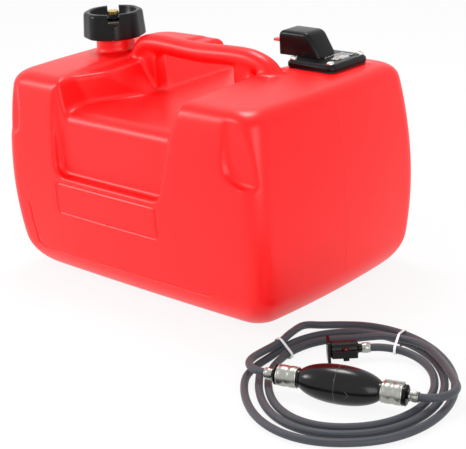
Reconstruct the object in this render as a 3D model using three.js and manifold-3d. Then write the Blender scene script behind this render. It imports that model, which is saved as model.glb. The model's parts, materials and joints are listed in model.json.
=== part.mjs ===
// Fuel tank for an outboard motor, with its hose kit laid on the floor in front of it.
// Units are millimetres and +Z is up. The tank stands on z = 0 with its length along X,
// and the recessed front, where the carrying handle's saddle opens, faces -Y.
import * as THREE from "three";
import { mergeVertices } from "three/addons/utils/BufferGeometryUtils.js";
import Module from "manifold-3d";

const wasm = await Module();
wasm.setup();

const degree = Math.PI / 180;
const fullTurn = 2 * Math.PI;
const fullTurnDegrees = 360;

// Fits
const clearance = 0.3; // left between pieces that touch in the real object
const overrun = 30; // how far a cutter runs past what it cuts
const weld = 1e-3; // points nearer than this are one point

// Fineness of round shapes
const curveSegments = 3; // straight pieces in each round corner of an outline
const smallSides = 12;
const mediumSides = 18;
const roundSides = 20;
const largeSides = 28;

// Tank body
const tankLength = 405;
const tankWidth = 284;
const tankHeight = 248.5;
const leftEnd = -tankLength / 2;
const rightEnd = tankLength / 2;
const wall = 4;
const waistShare = 0.485; // the sides lean in above and below this share of the height
const leanBelow = 11.9;
const leanAbove = 11.4;
const cornerRadius = 20;
const footRoundHeight = 42.3;
const footRoundDepth = 34.4;
const rimRoundHeight = 15.3;
const rimRoundDepth = 15;
const endBulge = 6.1;
const sideBulge = 2.2;
const bulgeSharpness = 6;
const crownHeight = 4;
const crownShares = [0.8, 0.55, 0.25];

// Recessed panel on the front and back, which goes on over the top as a shallow step
const panelDepth = 10;
const stepLeftInset = 92.5;
const stepRightFootInset = 139.5;
const stepRightKneeInset = 121.5;
const stepRightHeadInset = 107.5;
const stepDepth = 2.5;
const stepDrop = 114;
const stepCorner = 14;
const kneeDrop = 28;
const headRise = 4;
const panelY = tankWidth / 2 - panelDepth;
const stepTop = tankHeight - stepDepth;
const stepBottom = tankHeight - stepDrop;
const stepLeft = leftEnd + stepLeftInset;
const stepRightFootX = rightEnd - stepRightFootInset;
const stepRightKnee = { x: rightEnd - stepRightKneeInset, z: stepTop - kneeDrop };
const stepRightHead = { x: rightEnd - stepRightHeadInset, z: stepTop + headRise };

// Saddle across the top, under the handle
const saddleLeftLipInset = 114.5;
const saddleLeftFootInset = 136.5;
const saddleRightLipInset = 120.5;
const saddleRightFootInset = 144.5;
const saddleDepth = 37.5;
const saddleLip = 16; // radius where its floor turns down to the panel
const saddleFloor = tankHeight - saddleDepth;
const saddleLeftLip = leftEnd + saddleLeftLipInset;
const saddleLeftFoot = leftEnd + saddleLeftFootInset;
const saddleRightLip = rightEnd - saddleRightLipInset;
const saddleRightFoot = rightEnd - saddleRightFootInset;

// Pockets that lighten the four upper corners
const pocketBendDrop = 52.5;
const pocketRightInset = 47.5;
const pocketRightEndInset = 16.5;
const pocketRightDrop = 78.5;
const pocketLeftInset = 28.5;
const pocketLeftEndInset = 12.5;
const pocketLeftDrop = 74.5;
const pocketBendZ = tankHeight - pocketBendDrop;
const pocketRight = {
  x: rightEnd - pocketRightInset,
  endX: rightEnd - pocketRightEndInset,
  endZ: tankHeight - pocketRightDrop,
};
const pocketLeft = {
  x: leftEnd + pocketLeftInset,
  endX: leftEnd + pocketLeftEndInset,
  endZ: tankHeight - pocketLeftDrop,
};

// Handle
const barRadius = 11;
const barRise = 15.5;
const barSink = 10.5;
const barReach = 2; // how far its straight part runs past the saddle's right lip
const barLeftRun = 16;
const barRightRun = 29;
const webWidth = 20;
const webRound = 9;
const webSink = 6;
const barAxis = tankHeight + barRise;
const barRoot = tankHeight - barSink;
const barLeft = saddleLeftLip;
const barRight = saddleRightLip + barReach;
const barLeftRootX = barLeft - barLeftRun;
const barRightRootX = barRight + barRightRun;
const webTop = barAxis - webSink;

// Filler neck
const neckInset = 59.5;
const neckRadius = 23;
const neckBore = 18.5;
const neckHeight = 32.5;
const neckThreadRadius = 25;
const neckThreadPitch = 5;
const neckThreadTurns = 2;
const neckThreadDrop = 14;
const threadRootShare = 0.3; // half its width at the root, as a share of the pitch
const threadCrestShare = 0.12;
const threadStepsPerTurn = 16;
const neckX = leftEnd + neckInset;
const neckTop = tankHeight + neckHeight;
const neckThreadBase = neckTop - neckThreadDrop;

// Filler cap
const capOverlap = 11; // how far it comes down over the neck
const capHeight = 30;
const capFootRadius = 38;
const capTopRadius = 35.8;
const capEdge = 1.5;
const capSkirt = 3;
const capRim = 4.5;
const capDishDepth = 10.5;
const capPlateThickness = 5.2;
const capSleeveInner = 25.6;
const capSleeveOuter = 28.4;
const capLobes = 8;
const capLobeDepth = 0.9;
const lobeSteps = 6;
const lobeSharpness = 6;
const capSlotWidth = 14;
const capSlotDepth = 9;
const capTurn = -43 * degree; // the slot looks towards the front right
const capRibWidth = 2;
const capBossRadius = 10;
const capBossHeight = 3.1;
const gasketThickness = 2.4;
const capBottom = neckTop - capOverlap;
const capTop = capBottom + capHeight;
const capDish = capTop - capDishDepth;
const capPlate = capDish - capPlateThickness;
const capSlotFloor = capTop - capSlotDepth;
const capBossTop = capDish + capBossHeight;

// Vent screw in the cap
const ventShank = 2.6;
const ventShankReach = 0.9;
const ventHeadRadius = 6.6;
const ventHeadHeight = 6;
const ventSealThickness = 1.2;
const ventKnurls = 12;
const ventKnurlDepth = 0.5;

// Outlet flange and the seat under it
const outletInset = 69.5;
const outletInsetY = 75;
const outletHole = 26.5;
const seatRise = 2.1;
const seatDepth = 12;
const seatSide = 74;
const flangeSide = 68;
const flangeTopSide = 63;
const flangeCorner = 9;
const flangeEdge = 3.6;
const flangeRise = 4;
const outletGasketThickness = 1.2;
const outletGasketInset = 1;
const outletX = rightEnd - outletInset;
const outletY = tankWidth / 2 - outletInsetY;
const seatTop = tankHeight + seatRise;
const flangeBottom = seatTop + outletGasketThickness + 2 * clearance;
const flangeShoulder = flangeBottom + flangeEdge;
const flangeTop = flangeShoulder + flangeRise;

// Screws of the outlet flange
const outletScrewX = 26;
const outletScrewY = 27;
const screwShank = 2.1;
const screwHead = 4.3;
const screwHeadHeight = 2.8;
const screwLength = 17;
const screwSlot = 1.1;
const screwSlotDepth = 1.2;
const screwRimShare = 0.35; // height of the head's upright rim
const screwDomeShares = { radius: 0.8, height: 0.8 };
const screwFlatShare = 0.45;
const screwSlotShare = 0.55;

// Hood over the spigot
const hoodLeftReach = 58;
const hoodRightReach = 1;
const hoodHalfWidth = 16;
const hoodHeight = 28;
const hoodSlope = 16;
const hoodWall = 2.5;
const hoodBevel = 4;
const hoodTopBevel = 6;
const hoodLeft = outletX - hoodLeftReach;
const hoodRight = outletX + hoodRightReach;
const hoodFrontY = outletY - hoodHalfWidth;
const hoodBackY = outletY + hoodHalfWidth;
const hoodTop = flangeTop + hoodHeight;
const hoodTopRight = hoodRight - hoodSlope;

// Spigot and its dust plug
const spigotOffset = 18;
const spigotColumn = 5.5;
const spigotRise = 12.5;
const spigotHead = 6;
const spigotCollar = 8;
const spigotCollarHeight = 2;
const spigotBore = 2.4;
const spigotReach = 31;
const spigotRadius = 3.6;
const barbRadius = 4.1;
const barbLength = 4.5;
const barbCount = 4;
const spigotDrop = 6.4;
const spigotStub = 2.9;
const spigotStubLength = 8;
const plugOuter = 6.2;
const plugInner = 4.45;
const plugGrip = 15;
const plugReach = 4;
const plugFloor = 2;
const plugEdge = 1;
const tabLength = 23;
const tabWidth = 8;
const tabThickness = 2.4;
const spigotX = outletX - spigotOffset;
const spigotAxis = flangeTop + spigotRise;
const spigotTop = spigotAxis + spigotHead;
const spigotEnd = spigotX - spigotReach;
const spigotFoot = flangeBottom - spigotDrop;
const spigotStubFoot = spigotFoot - spigotStubLength;
const plugMouth = spigotEnd + plugGrip;
const plugEnd = spigotEnd - plugReach;
const tabEnd = plugEnd - tabLength;

// Gauge in the flange
const gaugeInset = 4;
const gaugeWidth = 17;
const gaugeFrontReach = 9;
const gaugeBackReach = 23;
const gaugeCorner = 2;
const gaugeDepth = 5.4;
const gaugeLedge = 1.2;
const dialThickness = 0.8;
const lensSeat = 1.6;
const lensProud = 0.8;
const needleInset = 4.5;
const needleOffset = 7;
const needleLength = 10;
const needleWidth = 1.6;
const needleHub = 2.2;
const needleStaff = 0.9;
const needleRise = 1.7;
const needleThickness = 0.8;
const needleTipShare = 0.7; // where its point begins
const needleStaffDepth = 1.1;
const gaugeLeft = outletX + gaugeInset;
const gaugeRight = gaugeLeft + gaugeWidth;
const gaugeFrontY = outletY - gaugeFrontReach;
const gaugeBackY = outletY + gaugeBackReach;
const gaugeFloor = flangeTop - gaugeDepth;
const lensBottom = flangeTop - lensSeat;
const lensTop = flangeTop + lensProud;
const needleX = gaugeLeft + needleInset;
const needleY = outletY + needleOffset;
const needleZ = gaugeFloor + needleRise;

// Sender that hangs into the tank
const senderBack = 10;
const senderPlate = 1.6;
const senderWidth = 12;
const senderFoot = 20;
const senderToe = 8;
const pivotDrop = 118.5;
const pivotPin = 1.5;
const pivotPinLength = 15;
const pivotHeadThickness = 1;
const cheekThickness = 1.5;
const cheekReach = 6;
const armHub = 3.8;
const armRod = 1.5;
const armLength = 100;
const floatRadius = 14;
const floatLength = 38;
const floatBevel = 3;
const floatBoreDepth = 18;
const pickupOuter = 4.2;
const pickupInner = 3.2;
const pickupFoot = 22;
const strainerTop = 40;
const strainerBottom = 6;
const strainerOuter = 7.5;
const strainerInner = 4.5;
const strainerRibs = 6;
const strainerSlot = 1.6;
const senderX = needleX;
const pivotY = needleY;
const pivotZ = tankHeight - pivotDrop;
const senderBackY = pivotY + senderBack;
const senderTop = flangeBottom - clearance;
const senderBottom = pivotZ - senderToe;
const pickupTop = spigotFoot - clearance;

// Coil of hose, in the frame of its own oval: u runs to the right, v away from the viewer.
// The four sizes of a lane are how far out it lies on each side. Its near left quarter is
// fuller than an oval.
const coilAside = 124.1;
const coilAhead = 17.8;
const coilTurn = 42.75 * degree;
const hoseRadius = 4;
const strandLift = 1.2; // room under a strand for the ties' straps
const strandGap = 0.7; // between a strand and the one that it rides on
const outerLane = { right: 104, left: 102, far: 130, near: 121 };
const middleLane = { right: 94, left: 87.5, far: 111, near: 106.5 };
const innerLane = { right: 84.5, left: 78, far: 95, near: 93 };
const laneFullness = 0.87; // below 1 the near left quarter of a lane is fuller than an oval
const coilStep = 12 * degree;
const hoseSides = 6;
const leadSteps = 10;
const hoseStraight = 10.1;
const leadBend = 27; // radius in which a hose turns off as it leaves the bulb
const leadBendSteps = 8;
const gapSpacing = 3; // between the points that the least gap is measured on
const coilX = rightEnd + coilAside;
const coilY = -tankWidth / 2 - coilAhead;
const hoseFloor = hoseRadius + strandLift;
const hoseUpper = hoseFloor + 2 * hoseRadius + strandGap;

// Left hose: over the left strands and out, then nearly two turns clockwise to its bare end
const leftJoin = 134 * degree;
const leftOutEnd = 104 * degree;
const leftDownStart = 120 * degree;
const leftDownEnd = 90 * degree;
const leftShiftStart = -182 * degree;
const leftShiftEnd = -220 * degree;
const leftEndAngle = -550 * degree;
const leftBendTurn = -76 * degree;
const leftReaches = [14, 30];

// Right hose: over the right strands, one turn anticlockwise, then in to the connector
const rightJoin = 22 * degree;
const rightShiftEnd = 55 * degree;
const rightDownStart = 50 * degree;
const rightDownEnd = 84 * degree;
const rightEndAngle = 358 * degree;
const rightBendTurn = 118 * degree;
const rightReaches = [26, 28];
const connectorReaches = [40, 30];

// Primer bulb, its clamps and valves
const bulbU = -10;
const bulbV = -35;
const bulbTurn = -26.2 * degree;
const bulbRadius = 19.2;
const bulbHalf = 40.5;
const bulbNeck = 9.3;
const bulbWall = 2.6;
const bulbNeckEnd = 65;
const bulbBore = 6.3;
const bulbSteps = 7;
const bulbSharpness = 2.15; // 2 would be an ellipse
const wideClampInset = 2.5;
const wideClampWidth = 21;
const clampSheet = 0.7;
const clampBead = 0.35;
const clampEarWidth = 4;
const clampEarHeight = 2;
const wideEarTurn = 150;
const narrowEarTurn = 210;
const connectorEarTurn = 100;
const valveFlange = 10.2;
const valveFlangeThickness = 1.7;
const valveBody = 6;
const valveBodyLength = 15.3;
const valveEdge = 1;
const valveStubRadius = 3.4;
const valveStubLength = 1.3;
const valveBore = 1.6;
const narrowClampGap = 1.3;
const narrowClampWidth = 8.8;
const bulbAxis = bulbRadius + clearance;
const wideClampStart = bulbHalf + wideClampInset;
const valveFlangeStart = bulbNeckEnd + clearance;
const valveFlangeEnd = valveFlangeStart + valveFlangeThickness;
const valveBodyStart = valveFlangeStart - valveBodyLength;
const valveStubEnd = valveFlangeEnd + valveStubLength;
const narrowClampStart = valveStubEnd + narrowClampGap;

// Connector on the hose's far end, along u from its own middle
const connectorV = 57;
const connectorAxis = 12;
const connectorLeft = -12;
const connectorRight = 17;
const connectorRadius = 9.2;
const connectorEdge = 1.2;
const connectorNose = 7;
const connectorNoseLeft = -15;
const connectorTail = 4.6;
const connectorTailEnd = 19.3;
const connectorBore = 4.8;
const connectorBoreEnd = 4;
const connectorPassage = 1.8;
const connectorPlateThickness = 3;
const connectorPlateU = -15.4;
const connectorPlateHalf = 11.6;
const connectorPlateTop = 24;
const floorGap = 0.05; // under what stands flat on the floor
const latchU = 3;
const latchV = 43.5;
const latchThickness = 2.6;
const latchTaper = 1;
const latchHalfHeight = 3.6;
const latchLeft = -11;
const latchRight = 15;
const latchHook = 2.6;
const latchPin = 1.2;
const latchEar = 3;
const latchEarThickness = 2;
const latchBarrel = 2.6;

// Ties round the coil
const tieWidth = 2.6;
const tieThickness = 0.8;
const tieSlack = 2; // beside the outermost strands, which cross a tie aslant
const leftTie = { outerU: -79, outerV: 97, innerU: -43, innerV: 52 };
const rightTie = { outerU: 73, outerV: 110, innerU: 51, innerV: 43 };

// Materials
const materials = {
  redPlastic: { color: 0xd8131f, roughness: 0.42, metalness: 0 },
  blackPlastic: { color: 0x17181a, roughness: 0.45, metalness: 0 },
  redRubber: { color: 0xb9121b, roughness: 0.6, metalness: 0 },
  blackRubber: { color: 0x1b1c1e, roughness: 0.75, metalness: 0 },
  glossRubber: { color: 0x0d0d0e, roughness: 0.25, metalness: 0 },
  hoseRubber: { color: 0x33363c, roughness: 0.6, metalness: 0 },
  brass: { color: 0xc9a545, roughness: 0.3, metalness: 1 },
  steel: { color: 0xb9bcc0, roughness: 0.3, metalness: 1 },
  whitePlastic: { color: 0xe9eaea, roughness: 0.5, metalness: 0 },
  clearPlastic: { color: 0xdfe6ea, roughness: 0.1, metalness: 0 },
  orangePlastic: { color: 0xd9541c, roughness: 0.5, metalness: 0 },
  foam: { color: 0x2a2b2d, roughness: 0.9, metalness: 0 },
};

// Turns a closed geometry into a solid that can be joined and cut.
function solid(geometry) {
  const loose = geometry.index ? geometry.toNonIndexed() : geometry.clone();
  loose.deleteAttribute("normal");
  loose.deleteAttribute("uv");
  const merged = mergeVertices(loose, weld);
  const vertProperties = merged.attributes.position.array;
  const triVerts = new Uint32Array(merged.index.array);
  const made = new wasm.Manifold(new wasm.Mesh({ numProp: 3, vertProperties, triVerts }));
  if (made.volume() > 0) return made;
  for (let i = 0; i < triVerts.length; i += 3) {
    const first = triVerts[i];
    triVerts[i] = triVerts[i + 1];
    triVerts[i + 1] = first;
  }
  return new wasm.Manifold(new wasm.Mesh({ numProp: 3, vertProperties, triVerts }));
}

function geometryOf(made) {
  const mesh = made.getMesh();
  const positions = new Float32Array(mesh.numVert * 3);
  for (let i = 0; i < mesh.numVert; i++) {
    const start = i * mesh.numProp;
    positions.set(mesh.vertProperties.subarray(start, start + 3), i * 3);
  }
  const geometry = new THREE.BufferGeometry();
  geometry.setAttribute("position", new THREE.BufferAttribute(positions, 3));
  geometry.setIndex(new THREE.BufferAttribute(mesh.triVerts, 1));
  const flat = geometry.toNonIndexed();
  flat.computeVertexNormals();
  return flat;
}

function join(first, ...others) {
  return others.reduce((sum, other) => sum.add(other), first);
}

function cut(from, ...others) {
  return others.reduce((rest, other) => rest.subtract(other), from);
}

function mesh(name, made, material) {
  const finish = new THREE.MeshStandardMaterial(materials[material]);
  const result = new THREE.Mesh(geometryOf(made), finish);
  result.name = name;
  return result;
}

function extruded(outline, depth) {
  return new THREE.ExtrudeGeometry(outline, { depth, bevelEnabled: false, curveSegments });
}

// Prisms: an outline in one plane, run along the axis across it
function prismZ(outline, from, to) {
  return solid(extruded(outline, to - from).translate(0, 0, from));
}

// The outline's two axes are X and Z.
function prismY(outline, from, to) {
  return solid(extruded(outline, to - from).rotateX(Math.PI / 2).translate(0, to, 0));
}

// The outline's two axes are Y and Z.
function prismX(outline, from, to) {
  const axes = [new THREE.Vector3(0, 1, 0), new THREE.Vector3(0, 0, 1), new THREE.Vector3(1, 0, 0)];
  const standing = extruded(outline, to - from).applyMatrix4(new THREE.Matrix4().makeBasis(...axes));
  return solid(standing.translate(from, 0, 0));
}

function outlineOf(...corners) {
  return new THREE.Shape(corners.map(([x, y]) => new THREE.Vector2(x, y)));
}

function roundedBox(left, low, right, high, radius) {
  const shape = new THREE.Shape();
  shape.absarc(right - radius, low + radius, radius, -Math.PI / 2, 0);
  shape.absarc(right - radius, high - radius, radius, 0, Math.PI / 2);
  shape.absarc(left + radius, high - radius, radius, Math.PI / 2, Math.PI);
  shape.absarc(left + radius, low + radius, radius, Math.PI, 1.5 * Math.PI);
  return shape;
}

// A turned solid about the Z axis. Its profile lists radius and height, from axis to axis.
function turned(profile, segments) {
  const points = profile.map(([radius, height]) => new THREE.Vector2(radius, height));
  return solid(new THREE.LatheGeometry(points, segments).rotateX(Math.PI / 2));
}

function cylinder(radius, from, to, segments = roundSides) {
  return turned([[0, from], [radius, from], [radius, to], [0, to]], segments);
}

function ring(inner, outer, from, to, segments = roundSides) {
  const hole = cylinder(inner, from - overrun, to + overrun, segments);
  return cut(cylinder(outer, from, to, segments), hole);
}

// Turns a solid made about Z so that it lies along +X instead, or along -X.
function alongX(made) {
  return made.rotate([0, 90, 0]);
}

function facingLeft(made) {
  return alongX(made).rotate([0, 0, 180]);
}

// A closed skin through rings of points, each end closed by a fan to its middle
function loft(rings) {
  const points = rings.flat();
  const around = rings[0].length;
  const index = [];
  for (let level = 0; level + 1 < rings.length; level++) {
    for (let step = 0; step < around; step++) {
      const here = level * around + step;
      const next = level * around + ((step + 1) % around);
      index.push(here, next, next + around, here, next + around, here + around);
    }
  }
  const last = (rings.length - 1) * around;
  for (const [start, ends] of [[0, -1], [last, 1]]) {
    const middle = new THREE.Vector3();
    for (let step = 0; step < around; step++) middle.add(points[start + step]);
    points.push(middle.divideScalar(around));
    for (let step = 0; step < around; step++) {
      const here = start + step;
      const next = start + ((step + 1) % around);
      if (ends > 0) index.push(points.length - 1, here, next);
      else index.push(points.length - 1, next, here);
    }
  }
  const geometry = new THREE.BufferGeometry().setFromPoints(points);
  return solid(geometry.setIndex(index));
}

// A round tube through a route that never runs straight up
function tubeThrough(route, radius, sides) {
  const rings = route.map((point, i) => {
    const before = route[Math.max(i - 1, 0)];
    const after = route[Math.min(i + 1, route.length - 1)];
    const along = after.clone().sub(before).normalize();
    const side = new THREE.Vector3(0, 0, 1).cross(along).normalize();
    const up = along.clone().cross(side);
    const ringPoints = [];
    for (let step = 0; step < sides; step++) {
      const angle = (fullTurn * step) / sides;
      const offset = side.clone().multiplyScalar(radius * Math.cos(angle));
      offset.addScaledVector(up, radius * Math.sin(angle));
      ringPoints.push(point.clone().add(offset));
    }
    return ringPoints;
  });
  return loft(rings);
}

function smooth(share) {
  const held = Math.min(Math.max(share, 0), 1);
  return held * held * (3 - 2 * held);
}

// How far a rounded edge has drawn in, at a share of the way through its height
function roundedShare(share) {
  const held = Math.min(Math.max(share, 0), 1);
  return 1 - Math.sqrt(1 - held * held);
}

// Tank body: how far its sides stand in at a height
function drawnIn(height) {
  const waistHeight = tankHeight * waistShare;
  const below = (waistHeight - height) / waistHeight;
  const above = (height - waistHeight) / (tankHeight - waistHeight);
  const lean = height < waistHeight ? leanBelow * below ** 2 : leanAbove * above ** 2;
  const foot = footRoundDepth * roundedShare((footRoundHeight - height) / footRoundHeight);
  const rimStart = tankHeight - rimRoundHeight;
  const rim = rimRoundDepth * roundedShare((height - rimStart) / rimRoundHeight);
  return lean + foot + rim;
}

function planPoints(halfLength, halfWidth, radius) {
  const arcSteps = 4;
  const longSteps = 6;
  const shortSteps = 4;
  const insideX = halfLength - radius;
  const insideY = halfWidth - radius;
  const corners = [[1, 1], [-1, 1], [-1, -1], [1, -1]];
  const points = [];
  corners.forEach(([sideX, sideY], corner) => {
    for (let step = 0; step <= arcSteps; step++) {
      const angle = (corner + step / arcSteps) * (Math.PI / 2);
      const x = sideX * insideX + radius * Math.cos(angle);
      const y = sideY * insideY + radius * Math.sin(angle);
      points.push([x, y]);
    }
    const [nextX, nextY] = corners[(corner + 1) % corners.length];
    const steps = sideX === nextX ? shortSteps : longSteps;
    const [startX, startY] = points[points.length - 1];
    const endX = sideX === nextX ? startX : nextX * insideX;
    const endY = sideY === nextY ? startY : nextY * insideY;
    for (let step = 1; step < steps; step++) {
      const share = step / steps;
      points.push([startX + (endX - startX) * share, startY + (endY - startY) * share]);
    }
  });
  return points;
}

// How far a side swells at a place given as shares of the way out along it and across it
function bulge(most, shareOut, shareAcross) {
  const swell = Math.max(1 - shareAcross ** 2, 0) * Math.abs(shareOut) ** bulgeSharpness;
  return most * swell * Math.sign(shareOut);
}

// The tank's outer skin, or the inner one that lies a wall inside it
function bodySkin(inside) {
  const footSteps = inside ? 3 : 5;
  const sideSteps = inside ? 4 : 6;
  const rimSteps = inside ? 3 : 4;
  const heights = [];
  for (let step = 0; step < footSteps; step++) {
    heights.push(footRoundHeight * (1 - Math.cos((step / footSteps) * (Math.PI / 2))));
  }
  const rimStart = tankHeight - rimRoundHeight;
  for (let step = 0; step <= sideSteps; step++) {
    heights.push(footRoundHeight + (rimStart - footRoundHeight) * (step / sideSteps));
  }
  for (let step = 1; step <= rimSteps; step++) {
    heights.push(rimStart + rimRoundHeight * Math.sin((step / rimSteps) * (Math.PI / 2)));
  }
  const squeeze = (tankHeight - 2 * inside) / tankHeight;
  const ringAt = (height, share, crown) => {
    const halfLength = tankLength / 2 - drawnIn(height) - inside;
    const halfWidth = tankWidth / 2 - drawnIn(height) - inside;
    return planPoints(halfLength, halfWidth, cornerRadius - inside).map(([x, y]) => {
      const shareX = x / halfLength;
      const shareY = y / halfWidth;
      const bulgeX = bulge(endBulge, shareX, shareY);
      const bulgeY = bulge(sideBulge, shareY, shareX);
      const lift = crown * (1 - (share * shareY) ** 2) * (1 - (share * shareX) ** bulgeSharpness);
      const z = inside + height * squeeze + Math.max(lift, 0);
      return new THREE.Vector3((x + bulgeX) * share, (y + bulgeY) * share, z);
    });
  };
  const rings = heights.map((height) => ringAt(height, 1, 0));
  for (const share of crownShares) rings.push(ringAt(tankHeight, share, crownHeight));
  return loft(rings);
}

// What is cut from the outer skin. A skin over 0 makes each cutter that much larger.
function bodyCutters(skin) {
  const high = tankHeight + overrun;
  const step = new THREE.Shape();
  const footX = stepRightFootX + skin;
  const cornerZ = stepBottom + stepCorner;
  step.moveTo(stepLeft - skin, high);
  step.lineTo(stepLeft - skin, cornerZ);
  step.absarc(stepLeft + stepCorner, cornerZ, stepCorner + skin, Math.PI, 1.5 * Math.PI);
  step.lineTo(stepRightFootX - stepCorner, stepBottom - skin);
  step.quadraticCurveTo(footX, stepBottom - skin, footX, cornerZ);
  step.lineTo(stepRightKnee.x + skin, stepRightKnee.z);
  step.lineTo(stepRightHead.x + skin, stepRightHead.z);
  step.lineTo(stepRightHead.x + skin, high);
  const across = tankWidth / 2 + overrun;
  const cutters = [
    prismY(step, -across, -(panelY - skin)),
    prismY(step, panelY - skin, across),
    prismY(
      outlineOf(
        [stepLeft - skin, stepTop - skin],
        [stepRightHead.x + skin, stepTop - skin],
        [stepRightHead.x + skin, high],
        [stepLeft - skin, high],
      ),
      -across,
      across,
    ),
  ];
  const leftSlope = (saddleLeftFoot - saddleLeftLip) / (stepTop - saddleFloor);
  const rightSlope = (saddleRightLip - saddleRightFoot) / (stepTop - saddleFloor);
  const deep = saddleFloor - saddleLip - skin;
  const drop = stepTop - deep;
  const saddle = outlineOf(
    [saddleLeftLip - skin, high],
    [saddleLeftLip - skin, stepTop],
    [saddleLeftLip - skin + leftSlope * drop, deep],
    [saddleRightLip + skin - rightSlope * drop, deep],
    [saddleRightLip + skin, stepTop],
    [saddleRightLip + skin, high],
  );
  const bendY = panelY - saddleLip;
  const floor = new THREE.Shape();
  floor.moveTo(-across, high);
  floor.lineTo(-across, saddleFloor - saddleLip - skin);
  floor.absarc(-bendY, saddleFloor - saddleLip, saddleLip - skin, Math.PI, Math.PI / 2, true);
  floor.absarc(bendY, saddleFloor - saddleLip, saddleLip - skin, Math.PI / 2, 0, true);
  floor.lineTo(across, saddleFloor - saddleLip - skin);
  floor.lineTo(across, high);
  cutters.push(prismY(saddle, -across, across).intersect(prismX(floor, -tankLength, tankLength)));
  const farX = tankLength / 2 + overrun;
  for (const { x, endX, endZ } of [pocketRight, pocketLeft]) {
    const side = Math.sign(x);
    const pocket = new THREE.Shape();
    pocket.moveTo(side * farX, high);
    pocket.lineTo(x - side * skin, high);
    pocket.lineTo(x - side * skin, pocketBendZ);
    pocket.quadraticCurveTo(x - side * skin, endZ - skin, endX, endZ - skin);
    pocket.lineTo(side * farX, endZ - skin);
    cutters.push(prismY(pocket, -across, -(panelY - skin)));
    cutters.push(prismY(pocket, panelY - skin, across));
  }
  return cutters;
}

// The handle's bar and the webs under its ends, or the hollow inside them
function handle(inside) {
  const turns = [
    [barLeftRootX, barRoot],
    [barLeftRootX + barRadius / 2, barAxis - barRadius],
    [barLeft, barAxis],
    [0, barAxis],
    [barRight, barAxis],
    [barRightRootX - barRadius / 2, barAxis - barRadius],
    [barRightRootX, barRoot],
  ];
  const places = turns.map(([x, z]) => new THREE.Vector3(x, 0, z));
  const middle = new THREE.CatmullRomCurve3(places, false, "centripetal");
  const steps = 16;
  const sides = 12;
  const rings = middle.getSpacedPoints(steps).map((point, step) => {
    const along = middle.getTangentAt(step / steps);
    const up = new THREE.Vector3(-along.z, 0, along.x);
    const ringPoints = [];
    for (let side = 0; side < sides; side++) {
      const angle = (fullTurn * side) / sides;
      const radius = barRadius - inside;
      const offset = new THREE.Vector3(0, radius * Math.cos(angle), 0);
      ringPoints.push(point.clone().add(offset).addScaledVector(up, radius * Math.sin(angle)));
    }
    return ringPoints;
  });
  const half = webWidth / 2 - inside;
  const webs = [
    [saddleLeftFoot, saddleLeftLip, -1],
    [saddleRightFoot, saddleRightLip, 1],
  ].map(([foot, lip, side]) => {
    const web = new THREE.Shape();
    const low = saddleFloor - wall + inside;
    web.moveTo(foot + side * inside, low);
    web.lineTo(foot + side * inside, barAxis - barRadius - webRound);
    web.quadraticCurveTo(foot + side * inside, webTop, foot - side * (webRound - inside), webTop);
    web.lineTo(lip + side * wall, webTop);
    web.lineTo(lip + side * wall, low);
    return prismY(web, -half, half);
  });
  return join(loft(rings), ...webs);
}

// A helical ridge about the Z axis
function threadRidge(root, crest, base, pitch, turns) {
  const halfRoot = pitch * threadRootShare;
  const halfCrest = pitch * threadCrestShare;
  const rings = [];
  for (let step = 0; step <= turns * threadStepsPerTurn; step++) {
    const angle = (fullTurn * step) / threadStepsPerTurn;
    const height = base + (pitch * step) / threadStepsPerTurn;
    const place = (radius, lift) =>
      new THREE.Vector3(radius * Math.cos(angle), radius * Math.sin(angle), height + lift);
    const over = [place(root, halfRoot), place(crest, halfCrest)];
    const under = [place(crest, -halfCrest), place(root, -halfRoot)];
    rings.push([...over, ...under]);
  }
  return loft(rings);
}

function outletScrewPlaces() {
  const places = [];
  for (const [sideX, sideY] of [[-1, -1], [1, -1], [1, 1], [-1, 1]]) {
    places.push([outletX + sideX * outletScrewX, outletY + sideY * outletScrewY]);
  }
  return places;
}

function screwHoles(from, to) {
  return outletScrewPlaces().map(([x, y]) => {
    return cylinder(screwShank + clearance, from, to, smallSides).translate([x, y, 0]);
  });
}

function tankShell() {
  const seatHalf = seatSide / 2;
  const seatOutline = roundedBox(
    outletX - seatHalf,
    outletY - seatHalf,
    outletX + seatHalf,
    outletY + seatHalf,
    flangeCorner,
  );
  const seatRoom = prismZ(seatOutline, seatTop, seatTop + overrun);
  const seat = prismZ(seatOutline, seatTop - seatDepth, seatTop);
  const neckFoot = tankHeight - seatDepth;
  const neck = cylinder(neckRadius, neckFoot, neckTop, largeSides).translate([neckX, 0, 0]);
  const ridge = threadRidge(
    neckRadius - clearance,
    neckThreadRadius,
    neckThreadBase,
    neckThreadPitch,
    neckThreadTurns,
  ).translate([neckX, 0, 0]);
  const outer = join(cut(bodySkin(0), ...bodyCutters(0), seatRoom), handle(0), neck, ridge);
  const room = join(cut(bodySkin(wall), ...bodyCutters(wall), seatRoom), handle(wall));
  const bore = cylinder(neckBore, neckFoot - overrun, neckTop + overrun, largeSides);
  const hole = cylinder(outletHole, seatTop - seatDepth - overrun, seatTop + overrun);
  const screwTip = flangeTop - screwLength - clearance;
  const openings = [bore.translate([neckX, 0, 0]), hole.translate([outletX, outletY, 0])];
  return cut(join(cut(outer, room), seat), ...openings, ...screwHoles(screwTip, seatTop + overrun));
}

// Filler cap
function lobedOutline(radius, lobes, depth) {
  const points = [];
  for (let step = 0; step < lobes * lobeSteps; step++) {
    const angle = (fullTurn * step) / (lobes * lobeSteps);
    const groove = Math.abs(Math.cos((angle * lobes) / 2)) ** lobeSharpness;
    const reach = radius - depth * groove;
    points.push(new THREE.Vector3(reach * Math.cos(angle), reach * Math.sin(angle), 0));
  }
  return points;
}

function lobedDrum(levels, lobes, depth) {
  const ringAt = ([radius, height]) => {
    return lobedOutline(radius, lobes, depth).map((point) => point.setZ(height));
  };
  return loft(levels.map(ringAt));
}

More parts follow.
